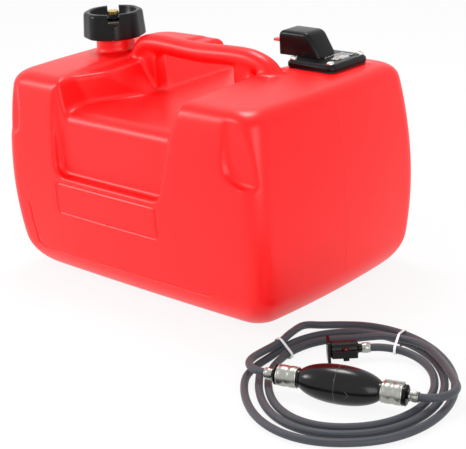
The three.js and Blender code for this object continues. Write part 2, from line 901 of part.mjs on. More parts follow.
function fillerCap() {
  const outside = lobedDrum(
    [
      [capFootRadius - capEdge, capBottom],
      [capFootRadius, capBottom + capEdge],
      [capTopRadius, capTop - capEdge],
      [capTopRadius - capEdge, capTop],
    ],
    capLobes,
    capLobeDepth,
  );
  const dish = cylinder(capTopRadius - capRim, capDish, capTop + overrun, largeSides);
  const underside = cut(
    cylinder(capTopRadius - capSkirt, capBottom - overrun, capPlate, largeSides),
    ring(capSleeveInner, capSleeveOuter, capBottom + capEdge, capPlate + capEdge, largeSides),
  );
  const ribStart = capSleeveOuter - capEdge / 2;
  const ribEnd = capTopRadius - capEdge;
  const ribs = [];
  for (let rib = 0; rib < capLobes; rib++) {
    const bar = roundedBox(ribStart, -capRibWidth / 2, ribEnd, capRibWidth / 2, capEdge / 2);
    const turn = (fullTurnDegrees * (rib + 1 / 2)) / capLobes;
    ribs.push(prismZ(bar, capBottom + capSkirt, capPlate + capEdge).rotate([0, 0, turn]));
  }
  const boss = cylinder(capBossRadius, capDish - capEdge, capBossTop);
  const slotEnd = capFootRadius + capEdge;
  const slot = prismZ(
    roundedBox(-slotEnd, -capSlotWidth / 2, slotEnd, capSlotWidth / 2, capEdge / 2),
    capSlotFloor,
    capTop + overrun,
  );
  const bossRoom = cylinder(capBossRadius, capSlotFloor - capEdge, capTop + overrun);
  const vent = cylinder(ventShank + clearance, capPlate - overrun, capTop, smallSides);
  const body = cut(outside, cut(underside, ...ribs), dish, cut(slot, bossRoom));
  return cut(join(body, boss), vent);
}

function capGroup() {
  const group = new THREE.Group();
  group.position.x = neckX;
  group.rotation.z = capTurn;
  group.add(mesh("filler_cap", fillerCap(), "blackPlastic"));
  const gasketBottom = neckTop + clearance;
  const gasket = ring(neckBore, neckThreadRadius, gasketBottom, gasketBottom + gasketThickness);
  group.add(mesh("cap_gasket", gasket, "blackRubber"));
  const sealBottom = capBossTop + clearance;
  const sealTop = sealBottom + ventSealThickness;
  const sealOuter = ventHeadRadius - clearance;
  const seal = ring(ventShank + clearance, sealOuter, sealBottom, sealTop, smallSides);
  group.add(mesh("vent_screw_seal", seal, "blackRubber"));
  const headBottom = sealTop + clearance;
  const headTop = headBottom + ventHeadHeight;
  const chamfer = ventKnurlDepth * 2;
  const head = lobedDrum(
    [
      [ventHeadRadius - chamfer, headBottom],
      [ventHeadRadius, headBottom + chamfer],
      [ventHeadRadius, headTop - chamfer],
      [ventHeadRadius - chamfer, headTop],
    ],
    ventKnurls,
    ventKnurlDepth,
  );
  const shankBottom = capPlate - ventShankReach;
  const shank = turned(
    [
      [0, shankBottom],
      [ventShank - chamfer, shankBottom],
      [ventShank, shankBottom + chamfer],
      [ventShank, headBottom + chamfer],
      [0, headBottom + chamfer],
    ],
    smallSides,
  );
  const slotEnd = ventHeadRadius + chamfer;
  const slot = prismZ(
    roundedBox(-slotEnd, -chamfer / 2, slotEnd, chamfer / 2, chamfer / 4),
    headTop - chamfer,
    headTop + overrun,
  );
  group.add(mesh("vent_screw", cut(join(head, shank), slot), "brass"));
  return group;
}

// Outlet flange with the gauge's pocket
function squareRing(side, corner, height) {
  const half = side / 2;
  const shape = roundedBox(outletX - half, outletY - half, outletX + half, outletY + half, corner);
  const points = shape.getPoints(curveSegments).slice(0, -1);
  return points.map((point) => new THREE.Vector3(point.x, point.y, height));
}

function gaugeOutline(grow) {
  return roundedBox(
    gaugeLeft - grow,
    gaugeFrontY - grow,
    gaugeRight + grow,
    gaugeBackY + grow,
    gaugeCorner,
  );
}

function outletFlange() {
  const topCorner = flangeCorner - (flangeSide - flangeTopSide) / 2;
  const plate = loft([
    squareRing(flangeSide, flangeCorner, flangeBottom),
    squareRing(flangeSide, flangeCorner, flangeShoulder),
    squareRing(flangeTopSide, topCorner, flangeTop),
  ]);
  const holes = screwHoles(flangeBottom - overrun, flangeTop + overrun);
  const pocket = prismZ(gaugeOutline(0), gaugeFloor, flangeTop + overrun);
  const lensRoom = prismZ(gaugeOutline(gaugeLedge), lensBottom - clearance, flangeTop + overrun);
  const staffHole = cylinder(
    needleStaff + clearance,
    gaugeFloor - needleStaffDepth - clearance,
    flangeTop,
    smallSides,
  ).translate([needleX, needleY, 0]);
  const column = cylinder(spigotColumn + clearance, flangeBottom - overrun, flangeTop + overrun);
  return cut(plate, ...holes, pocket, lensRoom, staffHole, column.translate([spigotX, outletY, 0]));
}

function outletGasket() {
  const half = flangeSide / 2 - outletGasketInset;
  const shape = roundedBox(outletX - half, outletY - half, outletX + half, outletY + half, flangeCorner);
  const bottom = seatTop + clearance;
  const plate = prismZ(shape, bottom, bottom + outletGasketThickness);
  const hole = cylinder(outletHole, seatTop - overrun, seatTop + overrun);
  const holes = screwHoles(seatTop - overrun, seatTop + overrun);
  return cut(plate, hole.translate([outletX, outletY, 0]), ...holes);
}

function outletScrew() {
  const bottom = flangeTop + clearance;
  const top = bottom + screwHeadHeight;
  const tip = flangeTop - screwLength;
  const body = turned(
    [
      [0, tip],
      [screwShank / 2, tip],
      [screwShank, tip + screwShank],
      [screwShank, bottom],
      [screwHead, bottom],
      [screwHead, bottom + screwHeadHeight * screwRimShare],
      [screwHead * screwDomeShares.radius, bottom + screwHeadHeight * screwDomeShares.height],
      [screwHead * screwFlatShare, top],
      [0, top],
    ],
    smallSides,
  );
  const half = screwHead * screwSlotShare;
  const narrow = screwSlot / 2;
  const bar = outlineOf([-half, -narrow], [half, -narrow], [half, narrow], [-half, narrow]);
  const slot = prismZ(bar, top - screwSlotDepth, top + overrun);
  return cut(body, slot, slot.rotate([0, 0, 90]));
}

// The hood's block, or the room inside it, which runs out at the open left end and bottom
function hoodBlock(inside) {
  const bottom = flangeTop + clearance;
  const open = inside ? overrun : 0;
  const left = hoodLeft - open;
  const leftBevel = inside ? 0 : hoodBevel / 2;
  const side = outlineOf(
    [left, bottom - open],
    [hoodRight - inside, bottom - open],
    [hoodRight - inside, bottom],
    [hoodTopRight + hoodTopBevel / 2 - inside, hoodTop - hoodTopBevel / 2],
    [hoodTopRight - inside, hoodTop - inside],
    [left + leftBevel, hoodTop - inside],
    [left, hoodTop - inside - leftBevel],
  );
  const front = hoodFrontY + inside;
  const back = hoodBackY - inside;
  const end = outlineOf(
    [front, bottom - overrun],
    [back, bottom - overrun],
    [back, bottom],
    [back - hoodBevel / 2, hoodTop - hoodTopBevel],
    [back - hoodTopBevel, hoodTop],
    [front + hoodTopBevel, hoodTop],
    [front + hoodBevel / 2, hoodTop - hoodTopBevel],
    [front, bottom],
  );
  const along = prismY(side, hoodFrontY - overrun, hoodBackY + overrun);
  return along.intersect(prismX(end, hoodLeft - 2 * overrun, hoodRight + overrun));
}

function hood() {
  return cut(hoodBlock(0), hoodBlock(hoodWall));
}

function spigot() {
  const column = cylinder(spigotColumn, spigotFoot, spigotTop).translate([spigotX, outletY, 0]);
  const collarBottom = flangeTop + clearance;
  const collar = cylinder(spigotCollar, collarBottom, collarBottom + spigotCollarHeight);
  const stub = cylinder(spigotStub, spigotStubFoot, spigotFoot + clearance, smallSides);
  const profile = [[0, 0], [spigotRadius, 0]];
  for (let barb = 0; barb < barbCount; barb++) {
    const start = spigotReach - (barbCount - barb) * barbLength;
    profile.push([spigotRadius, start]);
    profile.push([barbRadius, start]);
    profile.push([spigotRadius, start + barbLength]);
  }
  profile.push([0, spigotReach]);
  const barrel = facingLeft(turned(profile, smallSides)).translate([spigotX, outletY, spigotAxis]);
  const across = facingLeft(cylinder(spigotBore, 0, spigotReach + overrun, smallSides));
  const down = cylinder(spigotBore, spigotStubFoot - overrun, spigotAxis, smallSides);
  const stand = join(collar, stub).translate([spigotX, outletY, 0]);
  return cut(
    join(column, stand, barrel),
    across.translate([spigotX, outletY, spigotAxis]),
    down.translate([spigotX, outletY, 0]),
  );
}

function dustPlug() {
  const sleeve = turned(
    [
      [0, plugEnd],
      [plugOuter - plugEdge, plugEnd],
      [plugOuter, plugEnd + plugEdge],
      [plugOuter, plugMouth],
      [plugInner, plugMouth],
      [plugInner, plugEnd + plugFloor],
      [0, plugEnd + plugFloor],
    ],
    mediumSides,
  );
  const half = tabWidth / 2;
  const tab = prismZ(
    roundedBox(tabEnd, -half, plugEnd + plugEdge, half, tabThickness),
    -tabThickness / 2,
    tabThickness / 2,
  );
  return join(alongX(sleeve), tab).translate([0, outletY, spigotAxis]);
}

// Gauge
function gaugeDial() {
  const bottom = gaugeFloor + clearance;
  const plate = prismZ(gaugeOutline(-clearance), bottom, bottom + dialThickness);
  const hole = cylinder(needleStaff + clearance, bottom - overrun, bottom + overrun, smallSides);
  return cut(plate, hole.translate([needleX, needleY, 0]));
}

function gaugeNeedle() {
  const half = needleWidth / 2;
  const tipStart = needleLength * needleTipShare;
  const pointer = outlineOf(
    [-needleHub, -half],
    [tipStart, -half],
    [needleLength, 0],
    [tipStart, half],
    [-needleHub, half],
  );
  const top = needleZ + needleThickness;
  const hub = cylinder(needleHub, needleZ, top, mediumSides);
  const staffTop = top - needleThickness / 2;
  const staff = cylinder(needleStaff, gaugeFloor - needleStaffDepth, staffTop, smallSides);
  const made = join(prismZ(pointer, needleZ, top), hub, staff);
  return made.translate([needleX, needleY, 0]);
}

function gaugeLens() {
  return prismZ(gaugeOutline(gaugeLedge - clearance), lensBottom, lensTop);
}

// Sender: bracket, pivot, arm and float
function senderBracket() {
  const half = senderWidth / 2;
  const left = senderX - half;
  const right = senderX + half;
  const foot = prismZ(
    roundedBox(left, senderBackY - senderFoot, right, senderBackY, senderPlate),
    senderTop - senderPlate,
    senderTop,
  );
  const strip = prismZ(
    roundedBox(left, senderBackY - senderPlate, right, senderBackY, senderPlate / 2),
    senderBottom,
    senderTop,
  );
  const cheeks = [-1, 1].map((side) => {
    const outside = senderX + side * half;
    const insideX = outside - side * cheekThickness;
    const cheek = new THREE.Shape();
    cheek.moveTo(senderBackY, pivotZ - cheekReach);
    cheek.lineTo(pivotY, pivotZ - cheekReach);
    cheek.absarc(pivotY, pivotZ, cheekReach, 1.5 * Math.PI, Math.PI / 2, true);
    cheek.lineTo(senderBackY, pivotZ + cheekReach);
    return prismX(cheek, Math.min(outside, insideX), Math.max(outside, insideX));
  });
  const pinHole = alongX(cylinder(pivotPin + clearance, -overrun, overrun, smallSides));
  return cut(join(foot, strip, ...cheeks), pinHole.translate([senderX, pivotY, pivotZ]));
}

function pivot() {
  const half = pivotPinLength / 2;
  const headEnd = -half - pivotHeadThickness;
  const head = [[0, headEnd], [pivotPin * 2, headEnd], [pivotPin * 2, -half]];
  const pin = turned([...head, [pivotPin, -half], [pivotPin, half], [0, half]], smallSides);
  return alongX(pin).translate([senderX, pivotY, pivotZ]);
}

function floatArm() {
  const hubHalf = senderWidth / 2 - cheekThickness - clearance;
  const hub = ring(pivotPin + clearance, armHub, -hubHalf, hubHalf, mediumSides);
  const rod = cylinder(armRod, pivotPin + 2 * clearance, armLength, smallSides).rotate([90, 0, 0]);
  return join(alongX(hub), rod).translate([senderX, pivotY, pivotZ]);
}

function floatBody() {
  const half = floatLength / 2;
  const drum = turned(
    [
      [0, -half],
      [floatRadius - floatBevel, -half],
      [floatRadius, -half + floatBevel],
      [floatRadius, half - floatBevel],
      [floatRadius - floatBevel, half],
      [0, half],
    ],
    roundSides,
  );
  const bore = cylinder(armRod + clearance, -overrun, floatBoreDepth / 2, smallSides);
  const middleY = pivotY - armLength + floatBoreDepth / 2 - clearance;
  return cut(alongX(drum), bore.rotate([90, 0, 0])).translate([senderX, middleY, pivotZ]);
}

function pickupTube() {
  const hollow = ring(pickupInner, pickupOuter, pickupFoot, pickupTop, smallSides);
  return hollow.translate([spigotX, outletY, 0]);
}

function pickupStrainer() {
  const cage = turned(
    [
      [0, strainerBottom],
      [strainerOuter, strainerBottom],
      [strainerOuter, strainerTop],
      [pickupOuter + clearance, strainerTop],
      [pickupOuter + clearance, pickupFoot - clearance],
      [strainerInner, pickupFoot - clearance],
      [strainerInner, strainerBottom + strainerSlot],
      [0, strainerBottom + strainerSlot],
    ],
    smallSides,
  );
  const half = strainerSlot / 2;
  const near = strainerInner / 2;
  const far = strainerOuter + strainerSlot;
  const bar = outlineOf([near, -half], [far, -half], [far, half], [near, half]);
  const low = strainerBottom + 2 * strainerSlot;
  const high = pickupFoot - 2 * strainerSlot;
  const slots = [];
  for (let rib = 0; rib < strainerRibs; rib++) {
    slots.push(prismZ(bar, low, high).rotate([0, 0, (fullTurnDegrees * rib) / strainerRibs]));
  }
  return cut(cage, ...slots).translate([spigotX, outletY, 0]);
}

// How far out a lane lies on the sides that an angle looks to
function laneReach({ right, left, far, near }, angle) {
  return [Math.cos(angle) > 0 ? right : left, Math.sin(angle) > 0 ? far : near];
}

// A place on a lane, and the way along it as the angle grows
function onLane(lane, angle, height) {
  const [reachU, reachV] = laneReach(lane, angle);
  const cosine = Math.cos(angle);
  const sine = Math.sin(angle);
  const power = cosine < 0 && sine < 0 ? laneFullness : 1;
  const u = reachU * Math.sign(cosine) * Math.abs(cosine) ** power;
  const v = reachV * Math.sign(sine) * Math.abs(sine) ** power;
  return new THREE.Vector3(u, v, height);
}

function laneWay(lane, angle) {
  const [reachU, reachV] = laneReach(lane, angle);
  return new THREE.Vector3(-reachU * Math.sin(angle), reachV * Math.cos(angle), 0).normalize();
}

function between(first, second, share) {
  const mix = (side) => first[side] + (second[side] - first[side]) * share;
  return { right: mix("right"), left: mix("left"), far: mix("far"), near: mix("near") };
}

// A run between two places, leaving each along its own way
function lead(start, startWay, startReach, end, endWay, endReach) {
  const curve = new THREE.CubicBezierCurve3(
    start,
    start.clone().addScaledVector(startWay, startReach),
    end.clone().addScaledVector(endWay, endReach),
    end,
  );
  return curve.getSpacedPoints(leadSteps);
}

// From the bulb's clamp, on the left or the right, round a bend and down on to a lane: side
// is -1 on the left and 1 on the right
function bulbLead(side, turn, reaches, joinPlace, joinWay) {
  const way = new THREE.Vector3(Math.cos(bulbTurn), Math.sin(bulbTurn), 0).multiplyScalar(side);
  const start = new THREE.Vector3(bulbU, bulbV, bulbAxis).addScaledVector(way, valveStubEnd + clearance);
  const run = [start.clone().addScaledVector(way, hoseStraight)];
  const turnStep = turn / leadBendSteps;
  const chord = 2 * leadBend * Math.sin(Math.abs(turnStep) / 2);
  const upright = new THREE.Vector3(0, 0, 1);
  for (let step = 1; step <= leadBendSteps; step++) {
    way.applyAxisAngle(upright, turnStep / 2);
    run.push(run[step - 1].clone().addScaledVector(way, chord));
    way.applyAxisAngle(upright, turnStep / 2);
  }
  const [leave, arrive] = reaches;
  const last = run.pop();
  run.push(...lead(last, way, leave, joinPlace.clone().setZ(bulbAxis), joinWay, arrive));
  const length = routeLength(run);
  const drop = bulbAxis - joinPlace.z;
  const lowered = run.map((place, i) => {
    const share = routeLength(run.slice(0, i + 1)) / length;
    return place.clone().setZ(bulbAxis - drop * smooth(share));
  });
  return [start, ...lowered];
}

function leftHoseRoute() {
  const joinPlace = onLane(middleLane, leftJoin, hoseUpper);
  const joinWay = laneWay(middleLane, leftJoin);
  const route = bulbLead(-1, leftBendTurn, leftReaches, joinPlace, joinWay);
  const steps = Math.round((leftJoin - leftEndAngle) / coilStep);
  for (let step = 1; step <= steps; step++) {
    const angle = leftJoin + ((leftEndAngle - leftJoin) * step) / steps;
    const out = smooth((angle - leftOutEnd) / (leftJoin - leftOutEnd));
    const back = smooth((leftShiftStart - angle) / (leftShiftStart - leftShiftEnd));
    const lane = between(outerLane, middleLane, Math.max(out, back));
    const down = smooth((leftDownStart - angle) / (leftDownStart - leftDownEnd));
    const height = hoseUpper + (hoseFloor - hoseUpper) * down;
    route.push(onLane(lane, angle, height));
  }
  return route;
}

function rightHoseRoute() {
  const joinPlace = onLane(middleLane, rightJoin, hoseUpper);
  const joinWay = laneWay(middleLane, rightJoin).negate();
  const route = bulbLead(1, rightBendTurn, rightReaches, joinPlace, joinWay);
  const steps = Math.round((rightEndAngle - rightJoin) / coilStep);
  for (let step = 1; step <= steps; step++) {
    const angle = rightJoin + ((rightEndAngle - rightJoin) * step) / steps;
    const shift = smooth((angle - rightJoin) / (rightShiftEnd - rightJoin));
    const down = smooth((angle - rightDownStart) / (rightDownEnd - rightDownStart));
    const height = hoseUpper + (hoseFloor - hoseUpper) * down;
    route.push(onLane(between(middleLane, innerLane, shift), angle, height));
  }
  const last = route.pop();
  const end = new THREE.Vector3(connectorTailEnd + clearance, connectorV, connectorAxis);
  const endBend = end.clone().setX(end.x + hoseStraight);
  const [leave, arrive] = connectorReaches;
  const lastWay = laneWay(innerLane, rightEndAngle);
  route.push(...lead(last, lastWay, leave, endBend, new THREE.Vector3(1, 0, 0), arrive));
  route.push(end);
  return route;
}

// Least gap between two strands' skins, leaving out each point's own stretch
function leastGap(first, second) {
  const ownStretch = 6 * 2 * hoseRadius;
  const spaced = (route) => {
    const points = [];
    route.forEach((point, i) => {
      if (!i) return;
      const count = Math.ceil(point.distanceTo(route[i - 1]) / gapSpacing);
      for (let step = 0; step < count; step++) {
        points.push(route[i - 1].clone().lerp(point, step / count));
      }
    });
    return points;
  };
  const here = spaced(first);
  const there = spaced(second);
  let least = Infinity;
  here.forEach((point, i) => {
    there.forEach((other, j) => {
      if (first === second && Math.abs(i - j) * gapSpacing < ownStretch) return;
      least = Math.min(least, point.distanceTo(other));
    });
  });
  return least - 2 * hoseRadius;
}

function routeLength(route) {
  return route.slice(1).reduce((sum, point, i) => sum + point.distanceTo(route[i]), 0);
}

// Primer bulb and what sits in and on its necks, about the X axis with its middle at 0
function bulbProfile(inside) {
  const points = [];
  for (let step = 0; step <= 2 * bulbSteps; step++) {
    const share = step / bulbSteps - 1;
    const swell = Math.sqrt(Math.max(1 - Math.abs(share) ** bulbSharpness, 0));
    const radius = bulbNeck - inside + (bulbRadius - bulbNeck) * swell;
    points.push([radius, share * (bulbHalf - inside / 2)]);
  }
  return points;
}

function primerBulb() {
  const leftNeck = [[0, -bulbNeckEnd], [bulbNeck, -bulbNeckEnd]];
  const rightNeck = [[bulbNeck, bulbNeckEnd], [0, bulbNeckEnd]];
  const outside = turned([...leftNeck, ...bulbProfile(0), ...rightNeck], roundSides);
  const room = turned([[0, -bulbHalf], ...bulbProfile(bulbWall), [0, bulbHalf]], smallSides);
  const bore = cylinder(bulbBore, -bulbNeckEnd - overrun, bulbNeckEnd + overrun);
  return alongX(cut(outside, room, bore));
}

function bulbValve(side) {
  const body = turned(
    [
      [valveBore, valveBodyStart],
      [valveBody - valveEdge, valveBodyStart],
      [valveBody, valveBodyStart + valveEdge],
      [valveBody, valveFlangeStart],
      [valveFlange, valveFlangeStart],
      [valveFlange, valveFlangeEnd],
      [valveStubRadius, valveFlangeEnd],
      [valveStubRadius, valveStubEnd],
      [valveBore, valveStubEnd],
      [valveBore, valveBodyStart],
    ],
    mediumSides,
  );
  return side > 0 ? alongX(body) : facingLeft(body);
}

// A crimped band: a sheet ring with a bead at each edge and a closed ear
function bandClamp(inner, start, width, beads, earTurn) {
  const segments = inner > bulbNeck ? mediumSides : smallSides;
  const end = start + width;
  const outer = inner + clampSheet;
  const profile = [[inner, start], [outer, start]];
  const beadLength = (end - start) / (2 * beads + 1);
  for (let bead = 0; bead < beads; bead++) {
    const from = start + (2 * bead + 1 / 2) * beadLength;
    profile.push([outer, from]);
    profile.push([outer + clampBead, from + beadLength / 4]);
    profile.push([outer + clampBead, from + (5 * beadLength) / 4]);
    profile.push([outer, from + (3 * beadLength) / 2]);
  }
  profile.push([outer, end], [inner, end], [inner, start]);
  const band = turned(profile, segments);
  const half = clampEarWidth / 2;
  const ear = prismZ(
    roundedBox(outer - clampSheet / 2, -half, outer + clampEarHeight, half, clampSheet),
    start + clampSheet,
    end - clampSheet,
  );
  return join(band, ear.rotate([0, 0, earTurn]));
}

function bulbGroup() {
  const group = new THREE.Group();
  group.position.set(bulbU, bulbV, bulbAxis);
  group.rotation.z = bulbTurn;
  group.add(mesh("primer_bulb", primerBulb(), "glossRubber"));
  for (const [side, label] of [[-1, "left"], [1, "right"]]) {
    const facing = side > 0 ? alongX : facingLeft;
    const wide = bandClamp(bulbNeck + clearance, wideClampStart, wideClampWidth, 2, wideEarTurn);
    const hoseFit = hoseRadius + clearance;
    const narrow = bandClamp(hoseFit, narrowClampStart, narrowClampWidth, 1, narrowEarTurn);
    group.add(mesh("bulb_valve_" + label, bulbValve(side), "blackPlastic"));
    group.add(mesh("wide_clamp_" + label, facing(wide), "steel"));
    group.add(mesh("narrow_clamp_" + label, facing(narrow), "steel"));
  }
  return group;
}

function latchPinHole() {
  const hole = cylinder(latchPin + clearance, -overrun, overrun, smallSides);
  return hole.translate([latchU, latchV - connectorV, 0]);
}

// Connector, in the frame of the coil with its axis along u
function connectorBody() {
  const barrel = turned(
    [
      [0, connectorNoseLeft],
      [connectorNose, connectorNoseLeft],
      [connectorNose, connectorLeft],
      [connectorRadius - connectorEdge, connectorLeft],
      [connectorRadius, connectorLeft + connectorEdge],
      [connectorRadius, connectorRight - 2 * connectorEdge],
      [connectorTail, connectorRight],
      [connectorTail, connectorTailEnd],
      [0, connectorTailEnd],
    ],
    roundSides,
  );
  const plateHalf = connectorPlateHalf;
  const plateLow = floorGap - connectorAxis;
  const plateHigh = connectorPlateTop - connectorAxis;
  const plate = prismX(
    roundedBox(-plateHalf, plateLow, plateHalf, plateHigh, 2 * connectorEdge),
    connectorPlateU,
    connectorPlateU + connectorPlateThickness,
  );
  const earY = latchV - connectorV;
  const ears = [-1, 1].map((side) => {
    const near = latchHalfHeight + clearance;
    const from = side > 0 ? near : -near - latchEarThickness;
    const ear = roundedBox(latchU - latchEar, earY - latchEar, latchU + latchEar, 0, connectorEdge);
    return prismZ(ear, from, from + latchEarThickness);
  });
  const socket = alongX(cylinder(connectorBore, connectorPlateU - overrun, connectorBoreEnd));
  const passageEnd = connectorTailEnd + overrun;
  const passage = alongX(cylinder(connectorPassage, connectorPlateU, passageEnd, smallSides));
  return cut(join(alongX(barrel), plate, ...ears), socket, passage, latchPinHole());
}

function connectorLatch() {
  const earY = latchV - connectorV;
  const half = latchThickness / 2;
  const lever = new THREE.Shape();
  lever.moveTo(latchLeft, earY - half);
  lever.lineTo(latchRight - half, earY - half - latchTaper);
  lever.absarc(latchRight - half, earY - latchTaper, half, -Math.PI / 2, Math.PI / 2);
  lever.lineTo(latchLeft + latchHook, earY + half);
  lever.lineTo(latchLeft + latchHook, earY + half + latchHook / 2);
  lever.lineTo(latchLeft, earY + half);
  const blade = prismZ(lever, -latchHalfHeight, latchHalfHeight);
  const barrel = cylinder(latchBarrel, -latchHalfHeight, latchHalfHeight, smallSides);
  return cut(join(blade, barrel.translate([latchU, earY, 0])), latchPinHole());
}

function connectorGroup() {
  const group = new THREE.Group();
  group.position.set(0, connectorV, connectorAxis);
  group.add(mesh("connector_body", connectorBody(), "blackPlastic"));
  group.add(mesh("connector_latch", connectorLatch(), "blackPlastic"));
  const pinHalf = latchHalfHeight + latchEarThickness + clearance;
  const pin = cylinder(latchPin, -pinHalf, pinHalf, smallSides);
  group.add(mesh("connector_latch_pin", pin.translate([latchU, latchV - connectorV, 0]), "steel"));
  const start = connectorTailEnd + 2 * clearance;
  const clamp = bandClamp(hoseRadius + clearance, start, narrowClampWidth, 1, connectorEarTurn);
  group.add(mesh("connector_clamp", alongX(clamp), "steel"));
  return group;
}

// Where the hoses cross a tie's plane, as its own outline is drawn: how far along, how high
function strandsAcross(routes, { outerU, outerV, innerU, innerV }) {
  const along = new THREE.Vector3(outerU - innerU, outerV - innerV, 0);
  const middle = new THREE.Vector3((outerU + innerU) / 2, (outerV + innerV) / 2, 0);
  const halfSpan = along.length() / 2;
  along.normalize();
  const across = new THREE.Vector3(-along.y, along.x, 0);
  const strands = [];
  for (const route of routes) {
    route.slice(1).forEach((point, i) => {
      const before = route[i].clone().sub(middle).dot(across);
      const after = point.clone().sub(middle).dot(across);
      if (before * after > 0) return;
      const crossing = route[i].clone().lerp(point, before / (before - after));
      const place = crossing.clone().sub(middle).dot(along);
      if (Math.abs(place) < halfSpan) strands.push([place, crossing.z]);
    });
  }
  return strands;
}

// The tight loop round ovals of one size, as an outline: from the leftmost point on, each
// next point is the one that has all the others on its left
function hullAround(centres, halfWidth, halfHeight) {
  const points = centres.flatMap(([x, y]) =>
    Array.from({ length: smallSides }, (_, step) => {
      const angle = (fullTurn * step) / smallSides;
      return new THREE.Vector2(x + halfWidth * Math.cos(angle), y + halfHeight * Math.sin(angle));
    }),
  );
  const start = points.reduce((least, point) => (point.x < least.x ? point : least));
  const loop = [];
  let here = start;
  do {
    loop.push(here);
    const from = here;
    here = points.reduce((best, point) => {
      if (best === from) return point;
      const turn = best.clone().sub(from).cross(point.clone().sub(from));
      return turn < 0 ? point : best;
    });
  } while (here !== start);
  return new THREE.Shape(loop);
}

// A strap drawn tight round the strands that cross its plane
function tie(routes, place) {
  const strands = strandsAcross(routes, place);
  const loop = (thickness) => {
    const reach = hoseRadius + thickness;
    return hullAround(strands, reach + tieSlack, reach + clearance);
  };
  const strap = cut(
    prismX(loop(tieThickness), -tieWidth / 2, tieWidth / 2),
    prismX(loop(0), -overrun, overrun),
  );
  const { outerU, outerV, innerU, innerV } = place;
  const acrossAngle = Math.atan2(outerV - innerV, outerU - innerU) - Math.PI / 2;
  return strap
    .rotate([0, 0, acrossAngle / degree])
    .translate([(outerU + innerU) / 2, (outerV + innerV) / 2, 0]);
}

function hoseKit() {
  const group = new THREE.Group();
  group.position.set(coilX, coilY, 0);
  group.rotation.z = coilTurn;
  const left = leftHoseRoute();
  const right = rightHoseRoute();
  group.add(mesh("hose_left", tubeThrough(left, hoseRadius, hoseSides), "hoseRubber"));
  group.add(mesh("hose_right", tubeThrough(right, hoseRadius, hoseSides), "hoseRubber"));
  group.add(bulbGroup(), connectorGroup());
  group.add(mesh("tie_left", tie([left, right], leftTie), "whitePlastic"));
  group.add(mesh("tie_right", tie([left, right], rightTie), "whitePlastic"));
  for (const [label, route] of [["left hose", left], ["right hose", right]]) {
    const gap = leastGap(route, route).toFixed(2);
    console.log(label, routeLength(route).toFixed(0), "mm long, least gap to itself", gap, "mm");
  }
  console.log("least gap between the hoses", leastGap(left, right).toFixed(2), "mm");
  return group;
}

function outletGroup() {
  const group = new THREE.Group();
  group.add(mesh("outlet_flange", outletFlange(), "blackPlastic"));
  group.add(mesh("outlet_gasket", outletGasket(), "blackRubber"));
  group.add(mesh("outlet_hood", hood(), "blackPlastic"));
  group.add(mesh("outlet_spigot", spigot(), "blackPlastic"));
  group.add(mesh("dust_plug", dustPlug(), "redRubber"));
  outletScrewPlaces().forEach(([x, y], i) => {
    const screw = mesh("outlet_screw_" + (i + 1), outletScrew(), "steel");
    screw.position.set(x, y, 0);
    group.add(screw);
  });
  group.add(mesh("gauge_dial", gaugeDial(), "whitePlastic"));
  group.add(mesh("gauge_needle", gaugeNeedle(), "orangePlastic"));
  group.add(mesh("gauge_lens", gaugeLens(), "clearPlastic"));
  group.add(mesh("sender_bracket", senderBracket(), "steel"));
  group.add(mesh("sender_pivot", pivot(), "steel"));
  group.add(mesh("float_arm", floatArm(), "steel"));
  group.add(mesh("float", floatBody(), "foam"));
  group.add(mesh("pickup_tube", pickupTube(), "blackPlastic"));
  group.add(mesh("pickup_strainer", pickupStrainer(), "whitePlastic"));
  return group;
}

const object = new THREE.Group();
object.add(mesh("tank_shell", tankShell(), "redPlastic"), capGroup(), outletGroup(), hoseKit());

export default object;
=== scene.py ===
"""Looks for the outboard fuel tank and its hose kit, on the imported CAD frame."""
import json
import math

import bmesh
import bpy
from mathutils import Matrix, Vector


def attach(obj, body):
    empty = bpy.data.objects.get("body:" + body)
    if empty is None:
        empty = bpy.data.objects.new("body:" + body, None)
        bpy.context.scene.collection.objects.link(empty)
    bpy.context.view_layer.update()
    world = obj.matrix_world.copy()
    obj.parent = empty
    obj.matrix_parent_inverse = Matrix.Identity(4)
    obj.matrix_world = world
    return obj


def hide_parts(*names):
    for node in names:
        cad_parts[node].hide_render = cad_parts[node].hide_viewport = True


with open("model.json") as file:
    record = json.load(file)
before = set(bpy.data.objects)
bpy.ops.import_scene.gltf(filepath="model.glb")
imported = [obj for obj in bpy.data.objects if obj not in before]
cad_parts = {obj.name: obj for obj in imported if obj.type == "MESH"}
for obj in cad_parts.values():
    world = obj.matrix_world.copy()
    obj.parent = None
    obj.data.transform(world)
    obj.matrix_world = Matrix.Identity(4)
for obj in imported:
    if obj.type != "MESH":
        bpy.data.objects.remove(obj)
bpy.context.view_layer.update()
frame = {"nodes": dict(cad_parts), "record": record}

MM = 0.001  # pieces are worked in millimetres and brought to metres when they are finished
PHOTO_WIDTH = 466
SENSOR_WIDTH = 36
CAMERA_PLACE = (1.0508, -1.0816, 0.6103)


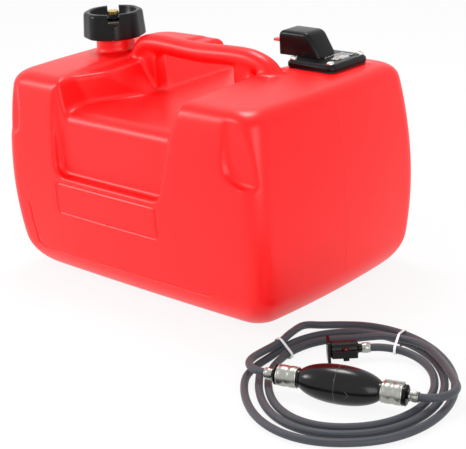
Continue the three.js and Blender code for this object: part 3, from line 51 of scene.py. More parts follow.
# camera
def place_camera():
    azimuth = math.radians(43.2)
    elevation = math.radians(20.4)
    roll = math.radians(-3.5)
    focal_in_pixels = 1326.9
    back = Vector((
        math.sin(azimuth) * math.cos(elevation),
        -math.cos(azimuth) * math.cos(elevation),
        math.sin(elevation),
    ))
    level_right = Vector((math.cos(azimuth), math.sin(azimuth), 0))
    level_up = back.cross(level_right)
    right = level_right * math.cos(roll) + level_up * math.sin(roll)
    up = level_up * math.cos(roll) - level_right * math.sin(roll)
    lens = bpy.data.cameras.new("photo_camera")
    lens.sensor_width = SENSOR_WIDTH
    lens.lens = SENSOR_WIDTH * focal_in_pixels / PHOTO_WIDTH
    lens.clip_start = 0.05
    lens.clip_end = 30
    camera = bpy.data.objects.new("photo_camera", lens)
    camera.matrix_world = Matrix((
        (right.x, up.x, back.x, CAMERA_PLACE[0]),
        (right.y, up.y, back.y, CAMERA_PLACE[1]),
        (right.z, up.z, back.z, CAMERA_PLACE[2]),
        (0, 0, 0, 1),
    ))
    bpy.context.scene.collection.objects.link(camera)
    bpy.context.scene.camera = camera


place_camera()


# where the hose kit lies on the floor
COIL_X, COIL_Y, COIL_TURN = 326.6, -159.8, math.radians(42.75)
BULB = Vector((-10, -35, 19.5))
BULB_TURN = math.radians(-26.2)
coil_frame = Matrix.Translation((COIL_X, COIL_Y, 0)) @ Matrix.Rotation(COIL_TURN, 4, "Z")
bulb_frame = coil_frame @ Matrix.Translation(BULB) @ Matrix.Rotation(BULB_TURN, 4, "Z")
BULB_MIDDLE = bulb_frame.translation
HOSE_CHART = "round_and_along"
HOSE_RIBS = 14


# shader arithmetic
class Wire:
    """A value on its way through a node tree, so that its arithmetic reads as arithmetic."""

    def __init__(self, wiring, node, output=0):
        self.wiring = wiring
        self.node = node
        self.socket = node.outputs[output]

    def out(self, output):
        """Another output of the same node."""
        return Wire(self.wiring, self.node, output)

    def __add__(self, other):
        return self.wiring.arithmetic("ADD", self, other)

    __radd__ = __add__

    def __sub__(self, other):
        return self.wiring.arithmetic("SUBTRACT", self, other)

    def __rsub__(self, other):
        return self.wiring.arithmetic("SUBTRACT", other, self)

    def __mul__(self, other):
        return self.wiring.arithmetic("MULTIPLY", self, other)

    __rmul__ = __mul__

    def __truediv__(self, other):
        return self.wiring.arithmetic("DIVIDE", self, other)

    def __lt__(self, other):
        return self.wiring.arithmetic("LESS_THAN", self, other)

    def __abs__(self):
        return self.wiring.arithmetic("ABSOLUTE", self)

    def at_least(self, other):
        return self.wiring.arithmetic("MAXIMUM", self, other)

    def sine(self):
        return self.wiring.arithmetic("SINE", self)


class Wiring:
    """A node tree that is fed with plain values and with wires."""

    def __init__(self, tree):
        self.tree = tree

    def feed(self, socket, value):
        if isinstance(value, Wire):
            self.tree.links.new(value.socket, socket)
        else:
            socket.default_value = value

    def node(self, kind, settings, values, output=0):
        made = self.tree.nodes.new(kind)
        for setting, value in settings.items():
            setattr(made, setting, value)
        for socket, value in values.items():
            self.feed(made.inputs[socket], value)
        return Wire(self, made, output)

    def arithmetic(self, operation, *values):
        return self.node("ShaderNodeMath", {"operation": operation}, dict(enumerate(values)))

    def in_view(self):
        """1 for what the camera sees, straight, mirrored or through something clear, or else 0."""
        path = self.node("ShaderNodeLightPath", {}, {}, "Is Camera Ray")
        return path.at_least(path.out("Is Glossy Ray")).at_least(path.out("Is Transmission Ray"))


class Finish(Wiring):
    """One surface finish, built from procedural nodes round a single shader."""

    def __init__(self, name, **constants):
        self.material = bpy.data.materials.new(name)
        self.material.use_nodes = True
        super().__init__(self.material.node_tree)
        self.shader = self.tree.nodes["Principled BSDF"]
        for socket, value in constants.items():
            self.feed(self.shader.inputs[socket.replace("_", " ")], value)

    def place(self):
        """Object coordinates in millimetres, as three wires."""
        coordinates = self.node("ShaderNodeTexCoord", {}, {}, "Object")
        split = self.node("ShaderNodeSeparateXYZ", {}, {0: coordinates})
        return [split.out(axis) / MM for axis in range(3)]

    def where(self, scale=(1, 1, 1)):
        """Object coordinates, stretched by scale along each axis."""
        coordinates = self.node("ShaderNodeTexCoord", {}, {}, "Object")
        return self.node("ShaderNodeMapping", {}, {"Vector": coordinates, "Scale": scale})

    def noise(self, size, where=None, detail=2.0, roughness=0.5):
        """Cloudy variation whose patches are about size millimetres across, from 0 to 1."""
        values = {
            "Vector": where or self.where(),
            "Scale": 1 / (size * MM),
            "Detail": detail,
            "Roughness": roughness,
        }
        return self.node("ShaderNodeTexNoise", {}, values)

    def step(self, value, start, end):
        """0 before start, 1 after end, and a smooth way between."""
        values = {"Value": value, "From Min": start, "From Max": end, "To Min": 0.0, "To Max": 1.0}
        return self.node("ShaderNodeMapRange", {"interpolation_type": "SMOOTHSTEP"}, values)

    def blend(self, share, first, second):
        """A colour on the way from first to second."""
        settings = {"data_type": "RGBA"}
        return self.node("ShaderNodeMix", settings, {0: share, 6: first, 7: second}, 2)

    def colour(self, value):
        self.feed(self.shader.inputs["Base Color"], value)

    def roughness(self, value):
        self.feed(self.shader.inputs["Roughness"], value)

    def relief(self, height, depth):
        """Height from 0 to 1 raises the surface by depth millimetres."""
        values = {"Height": height, "Distance": depth * MM, "Strength": 1.0}
        self.feed(self.shader.inputs["Normal"], self.node("ShaderNodeBump", {}, values))


def tone(red, green, blue):
    """A screen colour, 0 to 255, as the linear colour that a shader takes."""
    def linear(level):
        share = level / 255
        return share / 12.92 if share <= 0.04045 else ((share + 0.055) / 1.055) ** 2.4
    return (linear(red), linear(green), linear(blue), 1.0)


def line_mask(finish, distance, width):
    """1 on a line and 0 beyond half its width on either side."""
    return 1 - finish.step(abs(distance), width * 0.2, width * 0.5)


def red_polyethylene():
    finish = Finish("red_polyethylene", IOR=1.5, Specular_IOR_Level=0.4)
    x, y = finish.place()[:2]
    cloud = finish.noise(55, detail=3)
    grain = finish.noise(1.4, detail=2)
    finish.colour(finish.blend(cloud, tone(247, 2, 6), tone(254, 8, 12)))
    finish.roughness(0.3 + 0.08 * cloud + 0.05 * grain)
    parting = line_mask(finish, y, 1.6) * finish.step(abs(x), 150, 175)
    height = 0.5 + 0.05 * grain + 0.3 * parting
    finish.relief(height, 0.8)
    return finish.material


def black_plastic():
    finish = Finish("black_plastic", IOR=1.5, Specular_IOR_Level=0.22)
    grain = finish.noise(0.7, detail=2)
    cloud = finish.noise(18, detail=3)
    finish.colour(finish.blend(cloud, tone(4, 4, 5), tone(10, 10, 11)))
    finish.roughness(0.24 + 0.1 * cloud)
    finish.relief(grain, 0.06)
    return finish.material


def black_rubber():
    finish = Finish("black_rubber", IOR=1.5)
    grain = finish.noise(0.9)
    finish.colour(finish.blend(grain, tone(22, 22, 24), tone(38, 38, 40)))
    finish.roughness(0.62 + 0.14 * grain)
    finish.relief(grain, 0.08)
    return finish.material


def red_rubber():
    finish = Finish("red_rubber", IOR=1.5)
    grain = finish.noise(2.5)
    finish.colour(finish.blend(grain, tone(206, 70, 72), tone(224, 92, 92)))
    finish.roughness(0.5 + 0.15 * grain)
    finish.relief(grain, 0.05)
    return finish.material


def hose_rubber():
    finish = Finish("hose_rubber", IOR=1.5, Sheen_Weight=0.15)
    chart = finish.node("ShaderNodeUVMap", {"uv_map": HOSE_CHART}, {})
    around = finish.node("ShaderNodeSeparateXYZ", {}, {0: chart})
    ribs_with_painted_highlight = finish.step((around * (2 * math.pi * HOSE_RIBS)).sine(), -1.0, 1.0)
    cloud = finish.noise(14, detail=3)
    grain = finish.noise(0.8)
    dark = finish.blend(cloud, tone(36, 39, 46), tone(50, 54, 62))
    # the ribs are raised in relief, and their tops are painted lighter grey as well: a painted highlight
    # streak along each rib
    finish.colour(finish.blend(ribs_with_painted_highlight * 0.35, dark, tone(66, 70, 79)))
    finish.roughness(0.5 + 0.12 * cloud)
    finish.relief(0.6 * ribs_with_painted_highlight + 0.4 * grain, 0.08)
    return finish.material


def bulb_rubber():
    finish = Finish("bulb_rubber", IOR=1.5, Specular_IOR_Level=0.3)
    grain = finish.noise(1.1)
    cloud = finish.noise(20, detail=3)
    x, y, z = finish.place()
    turned = COIL_TURN + BULB_TURN
    from_middle_x, from_middle_y = x - BULB_MIDDLE.x, y - BULB_MIDDLE.y
    along = from_middle_x * math.cos(turned) + from_middle_y * math.sin(turned)
    across = from_middle_y * math.cos(turned) - from_middle_x * math.sin(turned)
    seam = line_mask(finish, along, 1.1)
    rise = abs(z - 19)
    arrow = line_mask(finish, along - 15 + rise, 1.3) * (rise < 4) * (across < -10)
    marks = seam.at_least(arrow)
    base = finish.blend(cloud, tone(6, 6, 7), tone(13, 13, 14))
    # the raised seam and arrow are painted light grey: a painted highlight on the moulded marks, which
    # also stand up in relief
    finish.colour(finish.blend(marks * 0.4, base, tone(96, 96, 98)))
    finish.roughness(0.16 + 0.1 * cloud)
    finish.relief(0.3 * grain + 0.7 * marks, 0.12)
    return finish.material


def brushed_metal(name, dark, light, rough):
    finish = Finish(name, Metallic=1.0)
    streak = finish.noise(3, finish.where((1.0, 1.0, 14.0)), detail=3)
    spots = finish.noise(2.2, detail=2)
    finish.colour(finish.blend(streak, dark, light))
    finish.roughness(rough + 0.18 * spots)
    finish.relief(streak, 0.02)
    return finish.material


def white_plastic():
    finish = Finish("white_plastic", IOR=1.5)
    cloud = finish.noise(6)
    finish.colour(finish.blend(cloud, tone(224, 226, 228), tone(238, 239, 240)))
    finish.roughness(0.4 + 0.15 * cloud)
    finish.relief(cloud, 0.04)
    return finish.material


def gauge_print():
    """The dial: a white ground with a row of plain marks along one side."""
    finish = Finish("gauge_print", IOR=1.5)
    x, y = finish.place()[:2]
    grain = finish.noise(1.5)
    marked_side = finish.step(x, 148.5, 149)
    marks = sum(line_mask(finish, y - place, 0.9) * marked_side for place in (62, 68, 74, 80, 86))
    ground = finish.blend(grain, tone(226, 228, 230), tone(240, 241, 242))
    finish.colour(finish.blend(marks, ground, tone(30, 30, 32)))
    finish.roughness(0.45 + 0.1 * grain)
    return finish.material


def orange_plastic():
    finish = Finish("orange_plastic", IOR=1.5)
    grain = finish.noise(1.2)
    finish.colour(finish.blend(grain, tone(214, 84, 30), tone(228, 100, 42)))
    finish.roughness(0.4 + 0.1 * grain)
    return finish.material


def clear_plastic():
    finish = Finish("clear_plastic", IOR=1.49, Transmission_Weight=1.0)
    haze = finish.noise(4)
    finish.colour(finish.blend(haze, (0.95, 0.97, 0.98, 1), (0.99, 1.0, 1.0, 1)))
    finish.roughness(0.04 + 0.06 * haze)
    return finish.material


def float_foam():
    finish = Finish("float_foam", IOR=1.5)
    cells = finish.noise(1.2, detail=4)
    finish.colour(finish.blend(cells, tone(34, 34, 36), tone(58, 58, 60)))
    finish.roughness(0.8 + 0.1 * cells)
    finish.relief(cells, 0.3)
    return finish.material


finishes = {
    "red_polyethylene": red_polyethylene(),
    "black_plastic": black_plastic(),
    "black_rubber": black_rubber(),
    "red_rubber": red_rubber(),
    "hose_rubber": hose_rubber(),
    "bulb_rubber": bulb_rubber(),
    "brass": brushed_metal("brass", tone(190, 156, 84), tone(226, 198, 128), 0.22),
    "steel": brushed_metal("steel", tone(132, 133, 126), tone(190, 191, 184), 0.24),
    "bright_steel": brushed_metal("bright_steel", tone(214, 214, 210), tone(244, 244, 240), 0.16),
    "white_plastic": white_plastic(),
    "gauge_print": gauge_print(),
    "orange_plastic": orange_plastic(),
    "clear_plastic": clear_plastic(),
    "float_foam": float_foam(),
}


# bench work
UP = Vector((0, 0, 1))
BACKWARDS = Vector((0, 1, 0))
replaced = set()


def only(obj):
    """Leave obj as the one selected and active object."""
    for other in bpy.context.selected_objects:
        other.select_set(False)
    obj.select_set(True)
    bpy.context.view_layer.objects.active = obj


def added(name):
    """Name the primitive that was just added, and leave it alone selected."""
    obj = bpy.context.active_object
    obj.name = name
    only(obj)
    return obj


def modify(obj, kind, **settings):
    only(obj)
    modifier = obj.modifiers.new(kind.lower(), kind)
    for setting, value in settings.items():
        setattr(modifier, setting, value)
    bpy.ops.object.modifier_apply(modifier=modifier.name)


def carve(obj, tool, operation="DIFFERENCE"):
    """Cut tool from obj, join it on or keep what both hold, and put the tool away."""
    modify(obj, "BOOLEAN", operation=operation, object=tool, solver="EXACT")
    bpy.data.objects.remove(tool)


def soften(obj, width, segments=3, angle=35):
    modify(obj, "BEVEL", width=width, segments=segments, limit_method="ANGLE",
           angle_limit=math.radians(angle), use_clamp_overlap=True)


def round_edges(obj, test, width, segments, **settings):
    """Bevel just the edges that pass the test."""
    only(obj)
    bpy.ops.object.mode_set(mode="EDIT")
    bpy.ops.mesh.select_mode(type="EDGE")
    made = bmesh.from_edit_mesh(obj.data)
    for group in (made.verts, made.edges, made.faces):
        for element in group:
            element.select = False
    for edge in made.edges:
        if test(edge):
            edge.select = True
    made.select_flush_mode()
    bmesh.update_edit_mesh(obj.data)
    bpy.ops.mesh.bevel(offset=width, segments=segments, affect="EDGES", **settings)
    bpy.ops.object.mode_set(mode="OBJECT")


def is_upright(edge):
    return abs((edge.verts[0].co - edge.verts[1].co).normalized().z) > 0.99


def block(name, low, high, corner=0, edge=0, segments=6):
    """A block from its low corner to its high one, with its upright edges or all of them rounded."""
    low, high = Vector(low), Vector(high)
    bpy.ops.mesh.primitive_cube_add(size=1, location=(low + high) / 2, scale=high - low)
    obj = added(name)
    bpy.ops.object.transform_apply()
    if corner:
        round_edges(obj, is_upright, corner, segments)
    if edge:
        soften(obj, edge)
    return obj


def rod(name, radius, low, high, x=0, y=0, steps=48):
    """A plain upright bar, for boring holes."""
    height = high - low
    bpy.ops.mesh.primitive_cylinder_add(
        radius=radius, depth=height, location=(x, y, low + height / 2), vertices=steps)
    obj = added(name)
    bpy.ops.object.transform_apply()
    return obj


def turn(name, outline, steps=72):
    """A piece turned about the Z axis from an outline of radii and heights."""
    first = outline[0]
    bpy.ops.mesh.primitive_plane_add(size=1, location=(first[0], 0, first[1]))
    obj = added(name)
    bpy.ops.object.transform_apply()
    bpy.ops.object.mode_set(mode="EDIT")
    bpy.ops.mesh.select_mode(type="VERT")
    bpy.ops.mesh.select_all(action="SELECT")
    bpy.ops.mesh.merge(type="CENTER")
    for (from_radius, from_height), (radius, height) in zip(outline, outline[1:]):
        way = (radius - from_radius, 0, height - from_height)
        bpy.ops.mesh.extrude_region_move(TRANSFORM_OT_translate={"value": way})
    bpy.ops.mesh.select_all(action="SELECT")
    bpy.ops.mesh.spin(steps=steps, angle=2 * math.pi, center=(0, 0, 0), axis=(0, 0, 1))
    bpy.ops.mesh.select_all(action="SELECT")
    bpy.ops.mesh.remove_doubles(threshold=0.001)
    bpy.ops.mesh.normals_make_consistent(inside=False)
    bpy.ops.object.mode_set(mode="OBJECT")
    return obj


def slab(name, outline, low, high, across="Y"):
    """An outline run along one axis, from low to high. Its pairs lie on the other two axes."""
    bpy.ops.mesh.primitive_circle_add(vertices=len(outline), fill_type="NGON", location=(0, 0, 0))
    obj = added(name)
    axis = "XYZ".index(across)
    for vertex, pair in zip(obj.data.vertices, outline):
        place = list(pair)
        place.insert(axis, low)
        vertex.co = place
    way = [0, 0, 0]
    way[axis] = high - low
    bpy.ops.object.mode_set(mode="EDIT")
    bpy.ops.mesh.select_all(action="SELECT")
    bpy.ops.mesh.extrude_region_move(TRANSFORM_OT_translate={"value": way})
    bpy.ops.mesh.select_all(action="SELECT")
    bpy.ops.mesh.normals_make_consistent(inside=False)
    bpy.ops.object.mode_set(mode="OBJECT")
    return obj


def lying_axes(point, way):
    """The two axes of a ring on a line that lies on the floor."""
    side = UP.cross(way).normalized()
    return side, way.cross(side)


def facing_axes(point, way):
    """The same on a line whose plane faces the front."""
    return BACKWARDS, BACKWARDS.cross(way).normalized()


def wound_axes(point, way):
    """The same on a line that is wound round the Z axis."""
    return Vector((point.x, point.y, 0)).normalized(), UP


def sweep(name, line, radius, sides, axes):
    """A closed round tube along a line, for cords and what is shaped like one."""
    made = bmesh.new()
    rings = []
    for i, point in enumerate(line):
        way = (line[min(i + 1, len(line) - 1)] - line[max(i - 1, 0)]).normalized()
        side, up = axes(point, way)
        rings.append([
            made.verts.new(point + (side * math.cos(a) + up * math.sin(a)) * radius)
            for a in (2 * math.pi * step / sides for step in range(sides))
        ])
    for here, there in zip(rings, rings[1:]):
        for step in range(sides):
            after = (step + 1) % sides
            made.faces.new((here[step], here[after], there[after], there[step]))
    made.faces.new(rings[0][::-1])
    made.faces.new(rings[-1])
    bmesh.ops.recalc_face_normals(made, faces=made.faces)
    mesh = bpy.data.meshes.new(name)
    made.to_mesh(mesh)
    made.free()
    obj = bpy.data.objects.new(name, mesh)
    bpy.context.scene.collection.objects.link(obj)
    return obj


def moved(obj, matrix):
    obj.data.transform(matrix)
    obj.data.update()


def finished(obj, body, slot, *nodes, angle=35):
    """Bring a piece to metres, smooth it, give it its finish and let it ride its body."""
    moved(obj, Matrix.Scale(MM, 4))
    only(obj)
    bpy.ops.object.shade_smooth_by_angle(angle=math.radians(angle))
    obj.data.materials.clear()
    obj.data.materials.append(finishes[slot])
    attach(obj, body)
    if nodes:
        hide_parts(*nodes)
        replaced.update(nodes)


# hose
HOSE_RADIUS, HOSE_SIDES = 4, 24
HOSE_FLOOR, HOSE_UPPER = 5.2, 13.9
# how far each lane of the coil lies out on its right, left, far and near side
OUTER = (104, 102, 130, 121)
MIDDLE = (94, 87.5, 111, 106.5)
INNER = (84.5, 78, 95, 93)
LANE_FULLNESS = 0.87
COIL_STEP = math.radians(12)
LEAD_STEPS = 10
HOSE_STRAIGHT = 10.1
LEAD_BEND, LEAD_BEND_STEPS = 27, 8
STUB_END = 68.6
CONNECTOR_END = Vector((19.6, 57, 12))
along_x = Matrix.Rotation(math.pi / 2, 4, "Y")


def lane_reach(lane, angle):
    right, left, far, near = lane
    return (right if math.cos(angle) > 0 else left), (far if math.sin(angle) > 0 else near)


def on_lane(lane, angle, height):
    reach_u, reach_v = lane_reach(lane, angle)
    cosine, sine = math.cos(angle), math.sin(angle)
    power = LANE_FULLNESS if cosine < 0 and sine < 0 else 1
    u = reach_u * math.copysign(abs(cosine) ** power, cosine)
    v = reach_v * math.copysign(abs(sine) ** power, sine)
    return Vector((u, v, height))


def lane_way(lane, angle):
    reach_u, reach_v = lane_reach(lane, angle)
    return Vector((-reach_u * math.sin(angle), reach_v * math.cos(angle), 0)).normalized()


def between(first, second, share):
    return tuple(a + (b - a) * share for a, b in zip(first, second))


def smooth(share):
    held = min(max(share, 0), 1)
    return held * held * (3 - 2 * held)


def lengths_along(places):
    lengths = [0]
    for here, there in zip(places, places[1:]):
        lengths.append(lengths[-1] + (there - here).length)
    return lengths


def lead(start, start_way, start_reach, end, end_way, end_reach):
    """Evenly spaced places on the curve that leaves start and end each along its own way."""
    first = start + start_way * start_reach
    second = end + end_way * end_reach
    fine = []
    for step in range(201):
        t = step / 200
        near_start = start * (1 - t) ** 3 + first * 3 * t * (1 - t) ** 2
        fine.append(near_start + second * 3 * t * t * (1 - t) + end * t ** 3)
    lengths = lengths_along(fine)
    places = []
    for step in range(LEAD_STEPS + 1):
        wanted = lengths[-1] * step / LEAD_STEPS
        at = next((i for i, length in enumerate(lengths) if length >= wanted - 1e-9), len(fine) - 1)
        places.append(fine[at])
    return places


def bulb_lead(side, turned, reaches, join_place, join_way):
    """From the bulb's clamp round a bend and down on to a lane."""
    way = Vector((math.cos(BULB_TURN), math.sin(BULB_TURN), 0)) * side
    start = BULB + way * STUB_END
    run = [start + way * HOSE_STRAIGHT]
    half_step = Matrix.Rotation(turned / LEAD_BEND_STEPS / 2, 3, "Z")
    chord = 2 * LEAD_BEND * math.sin(abs(turned) / LEAD_BEND_STEPS / 2)
    for step in range(LEAD_BEND_STEPS):
        way = half_step @ way
        run.append(run[-1] + way * chord)
        way = half_step @ way
    level_join = Vector((join_place.x, join_place.y, BULB.z))
    run += lead(run.pop(), way, reaches[0], level_join, join_way, reaches[1])
    lengths = lengths_along(run)
    for place, length in zip(run, lengths):
        place.z = BULB.z - (BULB.z - join_place.z) * smooth(length / lengths[-1])
    return [start] + run


def left_route():
    join, out_end = math.radians(134), math.radians(104)
    down_start, down_end = math.radians(120), math.radians(90)
    back_start, back_end = math.radians(-182), math.radians(-220)
    end = math.radians(-550)
    join_place = on_lane(MIDDLE, join, HOSE_UPPER)
    route = bulb_lead(-1, math.radians(-76), (14, 30), join_place, lane_way(MIDDLE, join))
    steps = round((join - end) / COIL_STEP)
    for step in range(1, steps + 1):
        angle = join + (end - join) * step / steps
        out = smooth((angle - out_end) / (join - out_end))
        back = smooth((back_start - angle) / (back_start - back_end))
        down = smooth((down_start - angle) / (down_start - down_end))
        height = HOSE_UPPER + (HOSE_FLOOR - HOSE_UPPER) * down
        route.append(on_lane(between(OUTER, MIDDLE, max(out, back)), angle, height))
    return route


def right_route():
    join, end = math.radians(22), math.radians(358)
    shift_end, down_start, down_end = math.radians(55), math.radians(50), math.radians(84)
    join_place = on_lane(MIDDLE, join, HOSE_UPPER)
    route = bulb_lead(1, math.radians(118), (26, 28), join_place, -lane_way(MIDDLE, join))
    steps = round((end - join) / COIL_STEP)
    for step in range(1, steps):
        angle = join + (end - join) * step / steps
        shift = smooth((angle - join) / (shift_end - join))
        down = smooth((angle - down_start) / (down_end - down_start))
        height = HOSE_UPPER + (HOSE_FLOOR - HOSE_UPPER) * down
        route.append(on_lane(between(MIDDLE, INNER, shift), angle, height))
    end_bend = CONNECTOR_END + Vector((HOSE_STRAIGHT, 0, 0))
    last = on_lane(INNER, end, HOSE_FLOOR)
    route += lead(last, lane_way(INNER, end), 40, end_bend, Vector((1, 0, 0)), 30)
    route.append(CONNECTOR_END)
    return route


def rounded_route(route, spacing=3.0):
    """A smooth line through the route's places, with points about spacing apart."""
    places = [route[0] * 2 - route[1]] + list(route) + [route[-1] * 2 - route[-2]]
    fine = []
    for before, here, there, after in zip(places, places[1:], places[2:], places[3:]):
        gap = (there - here).length ** 0.5
        gap_before = (here - before).length ** 0.5
        gap_after = (after - there).length ** 0.5
        leave = (here - before) / gap_before - (there - before) / (gap_before + gap) + (there - here) / gap
        reach = (there - here) / gap - (after - here) / (gap + gap_after) + (after - there) / gap_after
        count = max(1, round(gap ** 2 / spacing))
        for step in range(count):
            t = step / count
            fine.append(
                here * (2 * t ** 3 - 3 * t * t + 1)
                + leave * gap * (t ** 3 - 2 * t * t + t)
                + there * (3 * t * t - 2 * t ** 3)
                + reach * gap * (t ** 3 - t * t)
            )
    fine.append(route[-1])
    return fine


def hose(name, route):
    """A hose along its route, with a map that runs round it and along it."""
    line = [coil_frame @ point for point in rounded_route(route)]
    obj = sweep(name, line, HOSE_RADIUS, HOSE_SIDES, lying_axes)
    mesh = obj.data
    chart = mesh.uv_layers.new(name=HOSE_CHART)
    for polygon in mesh.polygons:
        rows = [mesh.loops[k].vertex_index // HOSE_SIDES for k in polygon.loop_indices]
        columns = [mesh.loops[k].vertex_index % HOSE_SIDES for k in polygon.loop_indices]
        wraps = max(columns) - min(columns) > HOSE_SIDES / 2
        for k, row, column in zip(polygon.loop_indices, rows, columns):
            across = column + HOSE_SIDES if wraps and column == 0 else column
            chart.data[k].uv = (across / HOSE_SIDES, row / len(line))
    finished(obj, "tank", "hose_rubber", name.replace("_tube", ""))
    length = sum((b - a).length for a, b in zip(line, line[1:]))
    tuple(line[0] * MM)
    [tuple(point * MM) for point in line]


# tank
TANK_LENGTH, TANK_WIDTH, TANK_HEIGHT = 405, 284, 248.5
WAIST, LOW_LEAN, HIGH_LEAN = 120.5, 11.9, 11.4
FOOT_ROUND, FOOT_DEPTH = 42.3, 34.4
RIM_ROUND, RIM_DEPTH = 15.3, 15
CORNER_ROUND = 20
END_BULGE, FACE_BULGE, TOP_BULGE = 6.1, 2.2, 4
PANEL_LEFT, PANEL_RIGHT, PANEL_Y = -110, 95, 132
STEP_HEIGHT, SADDLE_FLOOR = 246, 195
FAR = 30  # how far a cutter reaches beyond the tank
ROOT = 236  # how low the neck and the seat start inside the tank
NECK_X, NECK_BORE = -143, 18.5
OUTLET_X, OUTLET_Y = 133, 67
SEAT_HALF, SEAT_TOP = 37, 250.6
VOXEL, SMOOTHING_ROUNDS = 2.6, 7
neck_frame = Matrix.Translation((NECK_X, 0, 0))


def rounding(share):
    held = min(max(share, 0), 1)
    return 1 - math.sqrt(1 - held * held)


def drawn_in(height):
    """How far the tank's side stands in at a height, by its lean, its foot and its rim."""
    if height < WAIST:
        lean = LOW_LEAN * ((WAIST - height) / WAIST) ** 2
    else:
        lean = HIGH_LEAN * ((height - WAIST) / (TANK_HEIGHT - WAIST)) ** 2
    foot = FOOT_DEPTH * rounding((FOOT_ROUND - height) / FOOT_ROUND)
    rim = RIM_DEPTH * rounding((height - TANK_HEIGHT + RIM_ROUND) / RIM_ROUND)
    return lean + foot + rim


def side_line(count):
    """Heights up the tank's side, evenly spaced along its rounded line."""
    samples = 2000
    fine = [(drawn_in(TANK_HEIGHT * i / samples), TANK_HEIGHT * i / samples) for i in range(samples + 1)]
    lengths = [0]
    for (a, b), (c, d) in zip(fine, fine[1:]):
        lengths.append(lengths[-1] + math.hypot(c - a, d - b))
    heights, at = [], 0
    for i in range(count + 1):
        wanted = lengths[-1] * i / count
        while at < samples and lengths[at] < wanted:
            at += 1
        heights.append(fine[at][1])
    heights[0], heights[-1] = 0, TANK_HEIGHT
    return heights


def tank_block():
    """The moulded body before anything is pressed into it."""
    cuts = 71
    bpy.ops.mesh.primitive_cube_add(size=2)
    obj = added("tank_body")
    bpy.ops.object.mode_set(mode="EDIT")
    bpy.ops.mesh.select_all(action="SELECT")
    bpy.ops.mesh.subdivide(number_cuts=cuts)
    bpy.ops.object.mode_set(mode="OBJECT")
    heights = side_line(cuts + 1)
    for vertex in obj.data.vertices:
        a, b, c = vertex.co
        height = heights[round((c + 1) / 2 * (cuts + 1))]
        drawn = drawn_in(height)
        half_x, half_y = TANK_LENGTH / 2 - drawn, TANK_WIDTH / 2 - drawn
        x, y = abs(a) * half_x, abs(b) * half_y
        over_x, over_y = x - half_x + CORNER_ROUND, y - half_y + CORNER_ROUND
        if over_x > 0 and over_y > 0:
            pull = max(over_x, over_y) / math.hypot(over_x, over_y)
            x, y = half_x - CORNER_ROUND + over_x * pull, half_y - CORNER_ROUND + over_y * pull
        share_x, share_y = x / half_x, y / half_y
        bulge_x = END_BULGE * max(1 - share_y ** 2, 0) * share_x ** 6
        bulge_y = FACE_BULGE * max(1 - share_x ** 2, 0) * share_y ** 6
        lift = TOP_BULGE * (1 - share_y ** 2) * (1 - share_x ** 6) if c > 0.999 else 0
        vertex.co = (math.copysign(x + bulge_x, a), math.copysign(y + bulge_y, b), height + max(lift, 0))
    return obj


def arc(middle, radius, start, end):
    steps = 10
    return [
        (middle[0] + radius * math.cos(angle), middle[1] + radius * math.sin(angle))
        for angle in (math.radians(start + (end - start) * i / steps) for i in range(steps + 1))
    ]


def quarter_turn(start, corner, end, steps=10):
    """A curve from start to end that heads for the corner between them."""
    return [
        tuple(s * (1 - t) ** 2 + 2 * c * t * (1 - t) + e * t * t for s, c, e in zip(start, corner, end))
        for t in (i / steps for i in range(steps + 1))
    ]


def panel_cutters():
    high = TANK_HEIGHT + FAR
    across = TANK_WIDTH / 2 + FAR
    outline = [(PANEL_LEFT, high)]
    outline += arc((-96, 148.5), 14, 180, 270)
    outline += quarter_turn((49, 134.5), (63, 134.5), (63, 148.5))
    outline += [(81, 218), (PANEL_RIGHT, 250), (PANEL_RIGHT, high)]
    yield slab("front_panel", outline, -across, -PANEL_Y)
    yield slab("back_panel", outline, PANEL_Y, across)
    yield slab("top_step", [
        (PANEL_LEFT, STEP_HEIGHT), (PANEL_RIGHT, STEP_HEIGHT), (PANEL_RIGHT, high), (PANEL_LEFT, high),
    ], -across, across)
    floor = [(-across, high), (-across, SADDLE_FLOOR)]
    floor += arc((-116, SADDLE_FLOOR), 16, 180, 90)
    floor += arc((116, SADDLE_FLOOR), 16, 90, 0)
    floor += [(across, SADDLE_FLOOR), (across, high)]
    left_slope, right_slope = 22 / 35, 24 / 35
    drop = STEP_HEIGHT - SADDLE_FLOOR
    saddle = slab("saddle", [
        (-88, high), (-88, STEP_HEIGHT), (-88 + left_slope * drop, SADDLE_FLOOR),
        (82 - right_slope * drop, SADDLE_FLOOR), (82, STEP_HEIGHT), (82, high),
    ], -across, across)
    carve(saddle, slab("saddle_floor", floor, -300, 300, "X"), "INTERSECT")
    yield saddle
    # towards the front the saddle's walls flare out to the recess's edges
    flared = slab("flared_saddle", [
        (-104, high), (-104, STEP_HEIGHT), (-94, SADDLE_FLOOR),
        (69, SADDLE_FLOOR), (91, STEP_HEIGHT), (91, high),
    ], -across, 0)
    carve(flared, slab("flared_floor", floor, -300, 300, "X"), "INTERSECT")
    plan = [(-112, -across), (99, -across), (99, -125), (52, -14), (-60, -14), (-112, -125)]
    carve(flared, slab("flare", plan, 190, high + 1, "Z"), "INTERSECT")
    yield flared
    for x, end_x, end_z in ((155, 186, 170), (-174, -190, 174)):
        far_x = math.copysign(TANK_LENGTH / 2 + FAR, x)
        pocket = [(far_x, high), (x, high)]
        pocket += quarter_turn((x, 196), (x, end_z), (end_x, end_z))
        pocket.append((far_x, end_z))
        yield slab("front_pocket", pocket, -across, -PANEL_Y)
        yield slab("back_pocket", pocket, PANEL_Y, across)


def joined(obj, *others):
    only(obj)
    for other in others:
        other.select_set(True)
    bpy.ops.object.join()


